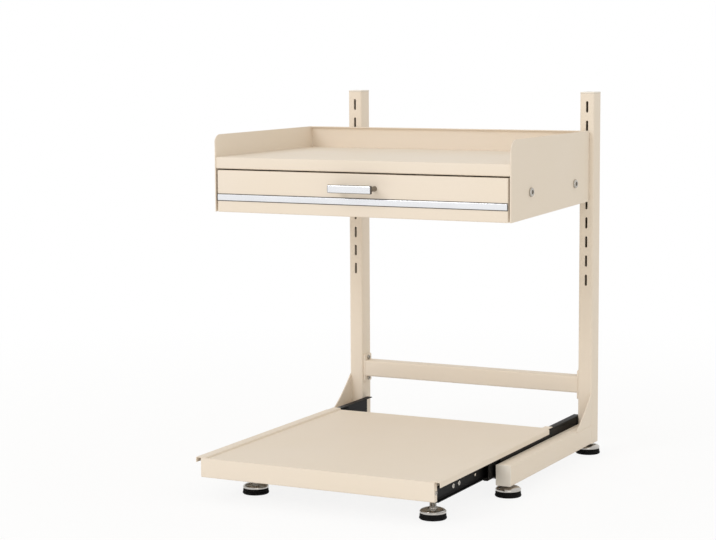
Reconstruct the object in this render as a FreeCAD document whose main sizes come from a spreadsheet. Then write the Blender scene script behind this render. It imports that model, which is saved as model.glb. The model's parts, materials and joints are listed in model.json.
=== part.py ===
import FreeCAD, Part
import math
import os
import re
import Sketcher
from FreeCAD import Rotation, Vector

# Microwave stand with drawer: a sheet-steel rack on two slotted uprights.
# Working axes: X to the right, Y to the back, Z up from the floor. X is 0 on the shelf's
# centre line and Y is 0 at the shelf's front. The finished pieces are then moved by
# stand_mid_x and stand_mid_y, which puts the origin under the middle of the whole stand.
# The stand is built with its drawer shut and its tray pulled part of the way out.

SIZES = {
    # shelf housing
    "shelf_width": 520,
    "shelf_depth": 336,
    "housing_bottom": 420,
    "housing_rise": 8,
    "shelf_height": 509,
    "shelf_lip": 19,
    "shelf_fold": 12,
    "lip_fold": 8,
    "guard_fold": 6,
    "panel_top": 545,
    "panel_corner": 17,
    "panel_fold": 4.2,
    "panel_sheet": 1.5,
    "panel_notch": 4,
    "panel_screw_front": 78,
    "panel_screw_back": 269,
    "panel_screw_wide": 14.5,
    "panel_screw_dome": 3.6,
    "screw_shank": 4,
    "head_flats": 12,
    # drawer
    "drawer_gap": 1.2,
    "drawer_front_deep": 14,
    "drawer_sheet": 1.2,
    "drawer_behind": 18.8,
    "drawer_tall": 46,
    "drawer_lift": 9,
    "trim_low": 18,
    "trim_tall": 12,
    "trim_proud": 1.5,
    "handle_long": 76,
    "handle_tall": 13,
    "handle_thick": 6,
    "handle_reach": 30,
    "handle_height": 45.5,
    "post_wide": 9,
    "post_inset": 8,
    "handle_round": 2.4,
    # uprights
    "upright_spacing": 430,
    "upright_outset": 8,
    "upright_wide": 25,
    "upright_deep": 32,
    "upright_sheet": 2,
    "upright_lip": 6,
    "upright_top": 606,
    "upright_cap": 2.5,
    "slot_wide": 4,
    "slot_tall": 19,
    "slot_pitch": 32,
    "slot_lowest": 296,
    "slot_count": 10,
    "hook_thick": 3,
    "hook_play": 0.3,
    "hook_drop": 5,
    "hook_tall": 12,
    "hook_slot_low": 5,
    "hook_slots_apart": 2,
    "hook_plate": 1.5,
    "hook_margin": 14,
    # base
    "base_height": 19,
    "rail_tall": 33,
    "rail_front": 18,
    "rail_sheet": 1.5,
    "rail_cap": 2,
    "gusset_tall": 55,
    "gusset_long": 70,
    "gusset_sheet": 2,
    "gusset_sag": 3,
    "bar_bottom": 103.5,
    "bar_tall": 28,
    "bar_deep": 26,
    "bar_sheet": 1.5,
    "bar_setback": 3,
    "flange_tall": 49,
    "flange_thick": 3,
    "flange_bolt_wide": 8,
    "flange_bolt_tall": 3,
    "flange_bolt_apart": 37,
    # telescopic slides
    "slide_thick": 12.7,
    "slide_tall": 40,
    "slide_sheet": 1.2,
    "slide_ball_gap": 3.3,
    "slide_ball": 2.7,
    "slide_web_gap": 2.2,
    "slide_flange": 11.6,
    "slide_inner_flange": 6.9,
    "cage_sheet": 0.6,
    "cage_wide": 5,
    "ball_pitch": 30,
    "ball_count": 2,
    "ball_flats": 6,
    "ball_place": 7.5,
    "cage_outer_start": 30,
    "cage_inner_start": 70,
    "tray_slide_height": 45,
    "tray_slide_long": 350,
    "tray_mid_long": 300,
    "tray_mid_front": 38,
    "drawer_slide_height": 461.5,
    "drawer_slide_front": 16,
    "drawer_slide_behind": 17,
    # tray
    "tray_out": 226,
    "tray_deep": 426,
    "tray_top": 67,
    "tray_step": 3,
    "tray_sheet": 1.2,
    "tray_ridge": 17,
    "tray_lip": 8.5,
    "tray_over": 2.2,
    "tray_tail": 22,
    "tray_tail_gap": 1,
    "tray_front_bottom": 36,
    "tray_front_inset": 9.5,
    "tray_return": 10,
    "runner_gap": 0.5,
    "channel_bottom": 34,
    "channel_short": 6,
    # levelling feet
    "foot_wide": 41,
    "foot_flats": 24,
    "pad_tall": 9,
    "pad_bevel": 1.5,
    "dome_wide": 39.6,
    "dome_tall": 8,
    "dome_shoulder": 0.86,
    "dome_crown": 0.4,
    "stem_wide": 10.4,
    "stem_play": 0.08,
    "stem_hole": 12.6,
    "stem_top": 42,
    "insert_wide": 15,
    "insert_tall": 10,
    "base_foot_front": 2,
    "base_foot_back": 16,
    "tray_foot_gap": 1.5,
    "tray_foot_lift": 1,
    "tray_foot_right": 45,
    "tray_foot_left": 75,
    "tray_foot_shift": 30,
}

# Places that follow from the sizes. Each may use sizes and other places.
PLACES = {
    "hook_low": "round(hook_slot_low) * slot_pitch",
    "hook_high": "hook_low + round(hook_slots_apart) * slot_pitch",
    "right_upright": "shelf_width / 2 + upright_outset - upright_wide / 2",
    "left_upright": "right_upright - upright_spacing",
    "base_mid": "right_upright - upright_spacing / 2",
    "upright_back": "shelf_depth + upright_deep",
    "rail_half": "upright_spacing / 2 - upright_wide / 2",
    "rail_top": "base_height + rail_tall",
    "slide_half": "rail_half - slide_thick",
    "panel_half": "shelf_width / 2 - panel_sheet",
    "shelf_back": "shelf_depth - hook_plate - panel_sheet",
    "drawer_half": "panel_half - slide_thick",
    "drawer_long": "shelf_back - drawer_behind - drawer_sheet",
    "drawer_slide_long": "shelf_back - drawer_slide_behind - drawer_slide_front",
    "drawer_front_half": "shelf_width / 2 - panel_fold - drawer_gap",
    "drawer_front_top": "shelf_height - shelf_lip - drawer_gap",
    "drawer_bottom": "housing_bottom + drawer_lift",
    "post_place": "handle_long / 2 - post_inset",
    "mid_out_half": "slide_tall / 2 - slide_sheet - slide_ball_gap",
    "inner_out_half": "mid_out_half - slide_sheet - slide_ball_gap",
    "tray_half": "rail_half + tray_over",
    "tail_half": "rail_half - tray_tail_gap",
    "tray_front_half": "tray_half - tray_front_inset",
    "foot_half_right": "upright_spacing / 2 - foot_wide - tray_foot_gap",
    "foot_half_left": "foot_half_right - tray_foot_shift",
    "channel_wide_right": "2 * (slide_half - foot_half_right)",
    "channel_wide_left": "2 * (slide_half - foot_half_left)",
    "stand_right": "max(right_upright + foot_wide / 2; shelf_width / 2 + panel_screw_dome)",
    "stand_left": "shelf_width / 2 + panel_screw_dome",
    "stand_back": "max(upright_back; shelf_depth + base_foot_back + foot_wide / 2)",
    "stand_mid_x": "(stand_right - stand_left) / 2",
    "stand_mid_y": "(stand_back - tray_out) / 2",
}

DOC = FreeCAD.newDocument("MicrowaveStand")
SHEET = DOC.addObject("Spreadsheet::Sheet", "Sizes")
for row, (name, number) in enumerate(SIZES.items(), 1):
    SHEET.set(f"A{row}", name)
    SHEET.set(f"B{row}", str(number))
    SHEET.setAlias(f"B{row}", name)
DOC.recompute()

NODES = []
SPOTS = {}


def bound(text):
    """Turn a sum of sizes and places into an expression on the sheet's cells."""
    def look_up(match):
        name = match.group()
        if name in PLACES:
            return "(" + bound(PLACES[name]) + ")"
        return "Sizes." + name if name in SIZES else name
    return re.sub(r"[a-z]\w*", look_up, str(text))


def worth(text):
    """The value of a sum of sizes and places, read from the sheet."""
    return float(SHEET.evalExpression(bound(text)))


def place(thing, x=0, y=0, z=0):
    """Tie a thing's position to the sheet."""
    SPOTS[thing.Name] = (x, y, z)
    for axis, text in zip("xyz", (x, y, z)):
        thing.setExpression(f"Placement.Base.{axis}", bound(text))
    return thing


def node(label, thing, x=0, y=0, z=0):
    """Name a finished sub-part and move it from its own spot to its place on the stand."""
    thing.Label = label
    NODES.append(thing)
    own = SPOTS.get(thing.Name, (0, 0, 0))
    moves = (f"{x} - stand_mid_x", f"{y} - stand_mid_y", z)
    place(thing, *(f"{spot} + {move}" for spot, move in zip(own, moves)))


def box(x, y, z, long, deep, tall):
    """A block with its low corner at x, y, z."""
    block = DOC.addObject("Part::Box", "Block")
    for size, text in (("Length", long), ("Width", deep), ("Height", tall)):
        block.setExpression(size, bound(text))
    return place(block, x, y, z)


def rod(x, y, z, wide, tall, along=Vector(0, 0, 1)):
    """A round bar that starts at x, y, z and runs along an axis."""
    bar = DOC.addObject("Part::Cylinder", "Rod")
    bar.setExpression("Radius", bound(f"({wide}) / 2"))
    bar.setExpression("Height", bound(tall))
    bar.Placement = FreeCAD.Placement(Vector(), Rotation(Vector(0, 0, 1), along))
    return place(bar, x, y, z)


def joined(*things):
    """Fuse things into one."""
    fuse = DOC.addObject("Part::MultiFuse", "Joined")
    fuse.Shapes = list(things)
    return fuse


def together(*things):
    """Keep separate solids in one sub-part."""
    group = DOC.addObject("Part::Compound", "Together")
    group.Links = list(things)
    return group


def cut(thing, *tools):
    """Cut tools away from a thing."""
    cutter = tools[0] if len(tools) == 1 else together(*tools)
    result = DOC.addObject("Part::Cut", "Cut")
    result.Base = thing
    result.Tool = cutter
    return result


def sketch(body, role, points, name="Outline"):
    """Draw a closed outline of straight lines with each corner tied to the sheet."""
    drawing = body.newObject("Sketcher::SketchObject", name)
    plane = next(item for item in body.Origin.OriginFeatures if item.Role == role)
    drawing.AttachmentSupport = (plane, [""])
    drawing.MapMode = "FlatFace"
    count = len(points)
    turns = [2 * math.pi * index / count for index in range(count)]
    ring = [Vector(math.cos(turn), math.sin(turn), 0) for turn in turns]
    for index in range(count):
        drawing.addGeometry(Part.LineSegment(ring[index], ring[(index + 1) % count]))
    for index in range(count):
        drawing.addConstraint(Sketcher.Constraint("Coincident", index, 2, (index + 1) % count, 1))
    for index, corner in enumerate(points):
        for kind, text in zip(("DistanceX", "DistanceY"), corner):
            mark = drawing.addConstraint(Sketcher.Constraint(kind, -1, 1, index, 1, 1.0))
            drawing.setExpression(f"Constraints[{mark}]", bound(text))
    return drawing


def pad(body, drawing, length, back=False):
    """Push a sketch out to a solid."""
    feature = body.newObject("PartDesign::Pad", "Pad")
    feature.Profile = drawing
    feature.setExpression("Length", bound(length))
    feature.Reversed = back
    drawing.Visibility = False
    return feature


def pocket(body, drawing):
    """Cut a sketch right through its body."""
    DOC.recompute()
    before = body.Shape.Volume
    feature = body.newObject("PartDesign::Pocket", "Pocket")
    feature.Profile = drawing
    feature.Type = "ThroughAll"
    DOC.recompute()
    if body.Shape.Volume > before - 0.001:
        raise RuntimeError(f"{drawing.Label} cuts nothing")
    return feature


def prism(label, role, points, length, back=False):
    """A body made by one outline pushed out along its plane's normal."""
    body = DOC.addObject("PartDesign::Body", label)
    pad(body, sketch(body, role, points), length, back)
    return body


def rounded(body, size, wanted):
    """Round the edges of a body that the test picks."""
    DOC.recompute()
    base = body.Tip
    picked = [f"Edge{number}" for number, edge in enumerate(base.Shape.Edges, 1) if wanted(edge)]
    if not picked:
        raise RuntimeError(f"{body.Label} has no edge to round")
    feature = body.newObject("PartDesign::Fillet", "Round")
    feature.Base = (base, picked)
    feature.setExpression("Radius", bound(size))
    return feature


def runs_along(edge, axis):
    """Whether an edge is straight and parallel to an axis."""
    if not isinstance(edge.Curve, Part.Line):
        return False
    return abs(abs(edge.Curve.Direction.dot(axis)) - 1) < 1e-6


AXIS = {"x": Vector(1, 0, 0), "y": Vector(0, 1, 0), "z": Vector(0, 0, 1)}
SIDES = {"left": -1, "right": 1}
PANEL_SCREWS = ("panel_screw_front", "panel_screw_back")


def build_upright(side, middle):
    """C-section upright, open to the back, with a column of hook slots in its face."""
    half, wall = "upright_wide / 2", "upright_sheet"
    points = [
        (f"-{half}", "0"), (half, "0"), (half, "upright_deep"),
        (f"{half} - upright_lip", "upright_deep"),
        (f"{half} - upright_lip", f"upright_deep - {wall}"),
        (f"{half} - {wall}", f"upright_deep - {wall}"), (f"{half} - {wall}", wall),
        (f"{wall} - {half}", wall), (f"{wall} - {half}", f"upright_deep - {wall}"),
        (f"upright_lip - {half}", f"upright_deep - {wall}"),
        (f"upright_lip - {half}", "upright_deep"), (f"-{half}", "upright_deep"),
    ]
    body = prism(f"UprightBody{side}", "XY_Plane", points, "upright_top - base_height")
    slot = body.newObject("Sketcher::SketchObject", "Slot")
    plane = next(item for item in body.Origin.OriginFeatures if item.Role == "XZ_Plane")
    slot.AttachmentSupport = (plane, [""])
    slot.MapMode = "FlatFace"
    slot_ends(slot)
    first = pocket(body, slot)
    pattern = body.newObject("PartDesign::LinearPattern", "Slots")
    pattern.Originals = [first]
    pattern.Direction = (slot, ["V_Axis"])
    pattern.Mode = "Spacing"
    pattern.setExpression("Offset", bound("slot_pitch"))
    pattern.setExpression("Occurrences", bound("slot_count"))
    body.Tip = pattern
    node(f"upright_{side}", body, middle, "shelf_depth", "base_height")


def slot_ends(slot):
    """Draw the lowest slot: two straight sides and two half-round ends."""
    half = SIZES["slot_wide"] / 2
    low = SIZES["slot_lowest"] - SIZES["base_height"] - SIZES["slot_tall"] / 2 + half
    high = low + SIZES["slot_tall"] - 2 * half
    slot.addGeometry(Part.LineSegment(Vector(half, low, 0), Vector(half, high, 0)))
    slot.addGeometry(Part.LineSegment(Vector(-half, high, 0), Vector(-half, low, 0)))
    upper = Part.Circle(Vector(0, high, 0), AXIS["z"], half)
    lower = Part.Circle(Vector(0, low, 0), AXIS["z"], half)
    slot.addGeometry(Part.ArcOfCircle(upper, 0, math.pi))
    slot.addGeometry(Part.ArcOfCircle(lower, math.pi, 2 * math.pi))
    for first, start, second, end in ((0, 2, 2, 1), (2, 2, 1, 1), (1, 2, 3, 1), (3, 2, 0, 1)):
        slot.addConstraint(Sketcher.Constraint("Tangent", first, start, second, end))
    slot.addConstraint(Sketcher.Constraint("Vertical", 0))
    slot.addConstraint(Sketcher.Constraint("PointOnObject", 2, 3, -2))
    rules = (
        (Sketcher.Constraint("Radius", 2, half), "slot_wide / 2"),
        (Sketcher.Constraint("DistanceY", 3, 3, 2, 3, high - low), "slot_tall - slot_wide"),
        (Sketcher.Constraint("DistanceY", -1, 1, 3, 3, low),
         "slot_lowest - base_height - (slot_tall - slot_wide) / 2"),
    )
    for rule, text in rules:
        mark = slot.addConstraint(rule)
        slot.setExpression(f"Constraints[{mark}]", bound(text))


def build_upright_cap(side, middle):
    """Flat cap that closes the top of an upright."""
    cap = box(0, 0, 0, "upright_wide", "upright_deep", "upright_cap")
    node(f"upright_cap_{side}", cap, f"{middle} - upright_wide / 2", "shelf_depth", "upright_top")


def build_rail(side, middle):
    """Hollow base rail that runs forward from its upright, with a hole for a foot's stem."""
    wall = "rail_sheet"
    outer = box("-upright_wide / 2", "rail_cap - rail_front", 0,
                "upright_wide", "shelf_depth + rail_front - rail_cap", "rail_tall")
    hollow = box(f"{wall} - upright_wide / 2", "rail_cap - rail_front - 1", wall,
                 f"upright_wide - 2 * {wall}", "shelf_depth + rail_front + 2",
                 f"rail_tall - 2 * {wall}")
    hole = rod(0, "base_foot_front", -1, "stem_hole", f"{wall} + 2")
    node(f"base_rail_{side}", cut(outer, hollow, hole), middle, 0, "base_height")
    cap = box("-upright_wide / 2", 0, 0, "upright_wide", "rail_cap", "rail_tall")
    node(f"rail_cap_{side}", cap, middle, "-rail_front", "base_height")


def build_gusset(side, middle):
    """Plate with a hollowed edge that braces the upright against its rail."""
    body = DOC.addObject("PartDesign::Body", f"GussetBody{side}")
    drawing = body.newObject("Sketcher::SketchObject", "Gusset")
    plane = next(item for item in body.Origin.OriginFeatures if item.Role == "YZ_Plane")
    drawing.AttachmentSupport = (plane, [""])
    drawing.MapMode = "FlatFace"
    tip = Vector(-SIZES["gusset_long"], 0, 0)
    top = Vector(0, SIZES["gusset_tall"], 0)
    corner = Vector(0, 0, 0)
    chord = top - tip
    sag = SIZES["gusset_sag"]
    radius = (chord.Length ** 2 / 4 + sag ** 2) / (2 * sag)
    outward = Vector(-chord.y, chord.x, 0) / chord.Length
    centre = (tip + top) / 2 + outward * (radius - sag)
    angles = [math.atan2(end.y - centre.y, end.x - centre.x) for end in (tip, top)]
    drawing.addGeometry(Part.LineSegment(tip, corner))
    drawing.addGeometry(Part.LineSegment(corner, top))
    drawing.addGeometry(Part.ArcOfCircle(Part.Circle(centre, AXIS["z"], radius), *angles))
    for first, start, second, end in ((0, 2, 1, 1), (1, 2, 2, 2), (2, 1, 0, 1)):
        drawing.addConstraint(Sketcher.Constraint("Coincident", first, start, second, end))
    square = "(gusset_long ^ 2 + gusset_tall ^ 2)"
    rules = (
        (Sketcher.Constraint("DistanceX", -1, 1, 0, 1, tip.x), "-gusset_long"),
        (Sketcher.Constraint("DistanceY", -1, 1, 0, 1, 0.0), "0"),
        (Sketcher.Constraint("DistanceX", -1, 1, 0, 2, 0.0), "0"),
        (Sketcher.Constraint("DistanceY", -1, 1, 0, 2, 0.0), "0"),
        (Sketcher.Constraint("DistanceX", -1, 1, 1, 2, 0.0), "0"),
        (Sketcher.Constraint("DistanceY", -1, 1, 1, 2, top.y), "gusset_tall"),
        (Sketcher.Constraint("Radius", 2, radius),
         f"({square} / 4 + gusset_sag ^ 2) / (2 * gusset_sag)"),
    )
    for rule, text in rules:
        mark = drawing.addConstraint(rule)
        drawing.setExpression(f"Constraints[{mark}]", bound(text))
    pad(body, drawing, "gusset_sheet")
    flush = "upright_wide / 2 - gusset_sheet" if side == "right" else "-upright_wide / 2"
    node(f"gusset_{side}", body, f"{middle} + {flush}", "shelf_depth", "rail_top")


def build_cross_bar():
    """Hollow bar between the uprights, with a taller flange welded to each end."""
    wall = "bar_sheet"
    reach = "rail_half - flange_thick"
    outer = box(f"-({reach})", 0, 0, f"2 * ({reach})", "bar_deep", "bar_tall")
    hollow = box(f"-({reach})", wall, wall, f"2 * ({reach})",
                 f"bar_deep - 2 * {wall}", f"bar_tall - 2 * {wall}")
    flanges = []
    bolts = []
    for side in SIDES.values():
        low = reach if side > 0 else "-rail_half"
        plate = box(low, 0, "(bar_tall - flange_tall) / 2", "flange_thick", "bar_deep", "flange_tall")
        places = [f"(bar_tall + {end} * flange_bolt_apart) / 2" for end in (-1, 1)]
        holes = [rod(low, "bar_deep / 2", up, "screw_shank", "flange_thick", AXIS["x"])
                 for up in places]
        flanges.append(cut(plate, *holes))
        for up in places:
            shank = rod(low, "bar_deep / 2", up, "screw_shank", "flange_thick", AXIS["x"])
            head = turned(f"{side} * ({reach})", "bar_deep / 2", up,
                          domed("flange_bolt_wide", "flange_bolt_tall"), "head_flats", AXIS["x"] * -side)
            bolts.append(joined(shank, head))
    front = "shelf_depth + bar_setback"
    node("cross_bar", joined(cut(outer, hollow), *flanges), "base_mid", front, "bar_bottom")
    node("cross_bar_bolts", together(*bolts), "base_mid", front, "bar_bottom")


def turned(x, y, z, rings, flats, along=Vector(0, 0, 1)):
    """A turned form through rings of (width, height), with flat facets to stay light."""
    count = round(worth(flats))
    turns = [2 * math.pi * index / count for index in range(count)]
    loops = [[Vector(worth(wide) / 2 * math.cos(turn), worth(wide) / 2 * math.sin(turn), worth(height))
              for turn in turns] for wide, height in rings]
    corners = [loops[0], loops[-1]]
    for low, high in zip(loops, loops[1:]):
        for index in range(count):
            after = (index + 1) % count
            corners.append([low[index], low[after], high[after], high[index]])
    faces = [Part.Face(Part.makePolygon(loop + loop[:1])) for loop in corners]
    form = DOC.addObject("Part::Feature", "Turned")
    form.Shape = Part.makeSolid(Part.makeShell(faces))
    form.Placement = FreeCAD.Placement(Vector(), Rotation(Vector(0, 0, 1), along))
    return place(form, x, y, z)


def domed(wide, tall):
    """The rings of a domed head, from its flat side up."""
    return [(wide, "0"), (f"({wide}) * dome_shoulder", f"({tall}) / 2"),
            (f"({wide}) * dome_crown", tall)]


def build_feet():
    """Six levelling feet, and the threaded inserts that hold their stems."""
    base_inserts = []
    tray_inserts = []
    for name, side in SIDES.items():
        middle = f"base_mid + {side} * upright_spacing / 2"
        build_foot(f"front_{name}", middle, "base_foot_front", 0)
        build_foot(f"back_{name}", middle, "shelf_depth + base_foot_back", 0)
        front = box(f"{middle} - insert_wide / 2", "base_foot_front - insert_wide / 2",
                    "base_height + rail_sheet", "insert_wide", "insert_wide", "insert_tall")
        base_inserts.append(bored(front, middle, "base_foot_front", "base_height"))
        inner = "upright_wide - 2 * upright_sheet"
        square = box(f"{middle} - ({inner}) / 2", "shelf_depth + upright_sheet", "base_height",
                     inner, "upright_deep - 2 * upright_sheet", "insert_tall")
        base_inserts.append(bored(square, middle, "shelf_depth + base_foot_back", "base_height"))
        middle = f"base_mid + {side} * foot_half_{name}"
        back = f"tray_foot_{name} - tray_out"
        build_foot(f"tray_{name}", middle, back, "tray_foot_lift")
        inner = f"channel_wide_{name} - 2 * tray_sheet"
        square = box(f"{middle} - ({inner}) / 2", f"{back} - insert_wide / 2", "channel_bottom",
                     inner, "insert_wide", "insert_tall")
        tray_inserts.append(bored(square, middle, back, "channel_bottom"))
    node("base_foot_inserts", together(*base_inserts))
    node("tray_foot_inserts", together(*tray_inserts))


def bored(block, x, y, low):
    """Drill a stem's running bore through an insert."""
    bore = rod(x, y, f"{low} - 1", "stem_wide + 2 * stem_play", "insert_tall + rail_sheet + 3")
    return cut(block, bore)


def build_foot(name, x, y, lift):
    """Rubber pad, and above it a chrome dome with its threaded stem."""
    rings = [("foot_wide", "0"), ("foot_wide", "pad_tall - pad_bevel"),
             ("foot_wide - 2 * pad_bevel", "pad_tall")]
    node(f"foot_pad_{name}", turned(0, 0, 0, rings, "foot_flats"), x, y, lift)
    rings = domed("dome_wide", "dome_tall")
    rings += [("stem_wide", "dome_tall"), ("stem_wide", "stem_top - pad_tall")]
    node(f"foot_stem_{name}", turned(0, 0, 0, rings, "foot_flats"), x, y, f"{lift} + pad_tall")


def build_shelf_top():
    """Shelf with its front lip, the lip's lower fold and two side folds."""
    sheet = "panel_sheet"
    long = f"shelf_back - {sheet}"
    points = [("0", "-shelf_lip"), ("lip_fold", "-shelf_lip"), ("lip_fold", f"{sheet} - shelf_lip"),
              (sheet, f"{sheet} - shelf_lip"), (sheet, f"-{sheet}"), (long, f"-{sheet}"),
              (long, "0"), ("0", "0")]
    plate = prism("ShelfBody", "YZ_Plane", points, "2 * panel_half")
    folds = [box(low, "lip_fold", "-shelf_fold", sheet, f"{long} - lip_fold", "shelf_fold")
             for low in ("0", f"2 * panel_half - {sheet}")]
    node("shelf_top", joined(plate, *folds), "-panel_half", sheet, "shelf_height")


def build_side_panel(side, name):
    """Side of the housing: rounded at the front top, notched at the back, folded in at the front."""
    rise = "panel_top - housing_bottom"
    points = [("0", "0"), ("shelf_depth", "housing_rise"), ("shelf_depth", f"{rise} - panel_notch"),
              ("shelf_depth - panel_notch", rise), ("0", rise)]
    body = prism(f"PanelBody{name}", "YZ_Plane", points, "panel_sheet")
    rounded(body, "panel_corner", front_top_edge)
    low = "0" if side < 0 else "panel_sheet - panel_fold"
    fold = box(low, 0, 0, "panel_fold", "panel_sheet", f"{rise} - panel_corner")
    holes = [rod(-1, back, "drawer_slide_height - housing_bottom", "screw_shank",
                 "panel_sheet + 2", AXIS["x"]) for back in PANEL_SCREWS]
    start = "panel_half" if side > 0 else "-shelf_width / 2"
    node(f"side_panel_{name}", cut(joined(body, fold), *holes), start, 0, "housing_bottom")
    screws = []
    for back in PANEL_SCREWS:
        head = turned(f"{side} * panel_sheet", back, 0, domed("panel_screw_wide", "panel_screw_dome"),
                      "head_flats", AXIS["x"] * side)
        shank = rod(f"{side} * panel_sheet", back, 0, "screw_shank",
                    "panel_sheet + slide_sheet", AXIS["x"] * -side)
        screws.append(joined(head, shank))
    node(f"panel_screws_{name}", together(*screws), f"{side} * panel_half", 0, "drawer_slide_height")


def front_top_edge(edge):
    """Whether an edge of a side panel is its front top corner."""
    box_of_all = edge.BoundBox
    return runs_along(edge, AXIS["x"]) and box_of_all.YMin < 1 and box_of_all.ZMin > 1


def build_back_panel():
    """Back of the housing, as high as its sides, with its top edge folded forward."""
    plate = box(0, 0, 0, "2 * panel_half", "panel_sheet", "panel_top - housing_bottom - housing_rise")
    fold = box(0, "-guard_fold", "panel_top - housing_bottom - housing_rise - panel_sheet",
               "2 * panel_half", "guard_fold", "panel_sheet")
    node("back_panel", joined(plate, fold), "-panel_half", "shelf_back",
         "housing_bottom + housing_rise")


def build_hook_bracket(name, middle, edge):
    """Plate behind the housing with two hooks that hang in the upright's slots."""
    parts = [box("-upright_wide / 2", "-hook_plate", "hook_low - hook_margin",
                 f"{edge} - ({middle}) + upright_wide / 2", "hook_plate",
                 "hook_high - hook_low + 2 * hook_margin")]
    arm = "upright_sheet + hook_play"
    bottom = "(slot_wide - slot_tall) / 2"
    for index, up in enumerate(("hook_low", "hook_high")):
        points = [("0", f"{up} + {bottom}"), (arm, f"{up} + {bottom}"),
                  (arm, f"{up} + {bottom} - hook_drop"),
                  (f"{arm} + hook_thick", f"{up} + {bottom} - hook_drop"),
                  (f"{arm} + hook_thick", f"{up} + {bottom} + hook_tall"),
                  ("0", f"{up} + {bottom} + hook_tall")]
        hook = prism(f"HookBody{name}{index}", "YZ_Plane", points, "hook_thick")
        parts.append(place(hook, "-hook_thick / 2"))
    node(f"hook_bracket_{name}", joined(*parts), middle, "shelf_depth", "slot_lowest")


def channel_section(side, web, turn, end, half):
    """Outline of a channel whose web stands at one depth and whose flanges end at another."""
    sheet = "slide_sheet"
    depths = (web, end, end, f"{web} + {turn} * {sheet}")
    levels = (f"-({half})", f"-({half})", f"{sheet} - ({half})", f"{sheet} - ({half})")
    low = [(f"{-side} * ({depth})", level) for depth, level in zip(depths, levels)]
    high = [(x, f"-({level})") for x, level in reversed(low)]
    return low + high


def build_slide(kind, side, face, height, starts, lengths):
    """Outer, intermediate and inner member of one telescopic slide."""
    name = "right" if side > 0 else "left"
    inner_end = "slide_thick - slide_inner_flange"
    sections = {
        "outer": channel_section(side, "0", 1, "slide_flange", "slide_tall / 2"),
        "mid": channel_section(side, "slide_sheet + slide_web_gap", 1, "slide_flange",
                               "mid_out_half"),
        "inner": channel_section(side, "slide_thick", -1, inner_end, "inner_out_half"),
    }
    for part, points in sections.items():
        body = prism(f"{kind}{part}{name}", "XZ_Plane", points, lengths[part], back=True)
        if kind == "drawer" and part == "outer":
            holes = [rod(-2, f"{back} - ({starts[part]})", 0, "screw_shank", 4, AXIS["x"])
                     for back in PANEL_SCREWS]
            body = cut(body, *holes)
        node(f"{kind}_slide_{part}_{name}", body, face, starts[part], height)
    outer_gap = "slide_tall / 2 - slide_sheet - slide_ball_gap / 2"
    inner_gap = "mid_out_half - slide_sheet - slide_ball_gap / 2"
    strips = []
    for gap, first in ((outer_gap, "cage_outer_start"), (inner_gap, "cage_inner_start")):
        strips += [ball_strip(side, f"{end} * ({gap})", first) for end in (-1, 1)]
    node(f"{kind}_slide_balls_{name}", together(*strips), face, starts["mid"], height)


def ball_strip(side, level, first):
    """One row of balls in its pierced strip. Each ball stands as a short pin with flats."""
    low = f"{side} * -ball_place - cage_wide / 2"
    strip = box(low, first, f"{level} - cage_sheet / 2", "cage_wide",
                "ball_count * ball_pitch", "cage_sheet")
    pin = [("slide_ball", "0"), ("slide_ball", "slide_ball")]
    balls = [turned(f"{side} * -ball_place", f"{first} + ({index} + 0.5) * ball_pitch",
                    f"{level} - slide_ball / 2", pin, "ball_flats")
             for index in range(SIZES["ball_count"])]
    return joined(strip, *balls)


def build_slides():
    """The tray's slides on the base rails and the drawer's slides on the side panels."""
    front = "tray_return + runner_gap - tray_out"
    tray_starts = {"outer": "0", "mid": "-tray_mid_front", "inner": front}
    tray_lengths = {"outer": "tray_slide_long", "mid": "tray_mid_long", "inner": "tray_slide_long"}
    parts = ("outer", "mid", "inner")
    for side in SIDES.values():
        build_slide("tray", side, f"base_mid + {side} * rail_half", "tray_slide_height",
                    tray_starts, tray_lengths)
        build_slide("drawer", side, f"{side} * panel_half", "drawer_slide_height",
                    dict.fromkeys(parts, "drawer_slide_front"),
                    dict.fromkeys(parts, "drawer_slide_long"))


def build_drawer():
    """Drawer box, its folded front, the trim strip and the bar handle."""
    sheet = "drawer_sheet"
    outer = box("-drawer_half", 0, 0, "2 * drawer_half", "drawer_long", "drawer_tall")
    hollow = box(f"{sheet} - drawer_half", sheet, sheet, f"2 * (drawer_half - {sheet})",
                 f"drawer_long - 2 * {sheet}", "drawer_tall")
    node("drawer_box", cut(outer, hollow), 0, sheet, "drawer_bottom")
    tall = "drawer_front_top - housing_bottom"
    half = "drawer_front_half"
    outer = box(f"-({half})", 0, 0, f"2 * ({half})", "drawer_front_deep", tall)
    hollow = box(f"{sheet} - ({half})", sheet, sheet, f"2 * (({half}) - {sheet})",
                 "drawer_front_deep", f"{tall} - 2 * {sheet}")
    node("drawer_front", cut(outer, hollow), 0, 0, "housing_bottom")
    strip = box(f"-({half})", "-trim_proud", 0, f"2 * ({half})", "trim_proud", "trim_tall")
    node("trim_strip", strip, 0, 0, "housing_bottom + trim_low")
    centre = "housing_bottom + handle_height"
    end = "handle_long / 2"
    corners = [(f"{x} * {end}", f"{z} * handle_tall / 2") for x, z in ((-1, -1), (1, -1), (1, 1), (-1, 1))]
    bar = prism("HandleBody", "XZ_Plane", corners, "handle_thick", back=True)
    rounded(bar, "handle_round", lambda edge: runs_along(edge, AXIS["x"]))
    node("handle_bar", bar, 0, "-handle_reach", centre)
    ends = [("post_wide", "0"), ("post_wide", "handle_reach - handle_thick")]
    posts = [turned(f"{side} * post_place", 0, 0, ends, "foot_flats", AXIS["y"])
             for side in SIDES.values()]
    node("handle_posts", together(*posts), 0, "handle_thick - handle_reach", centre)


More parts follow.
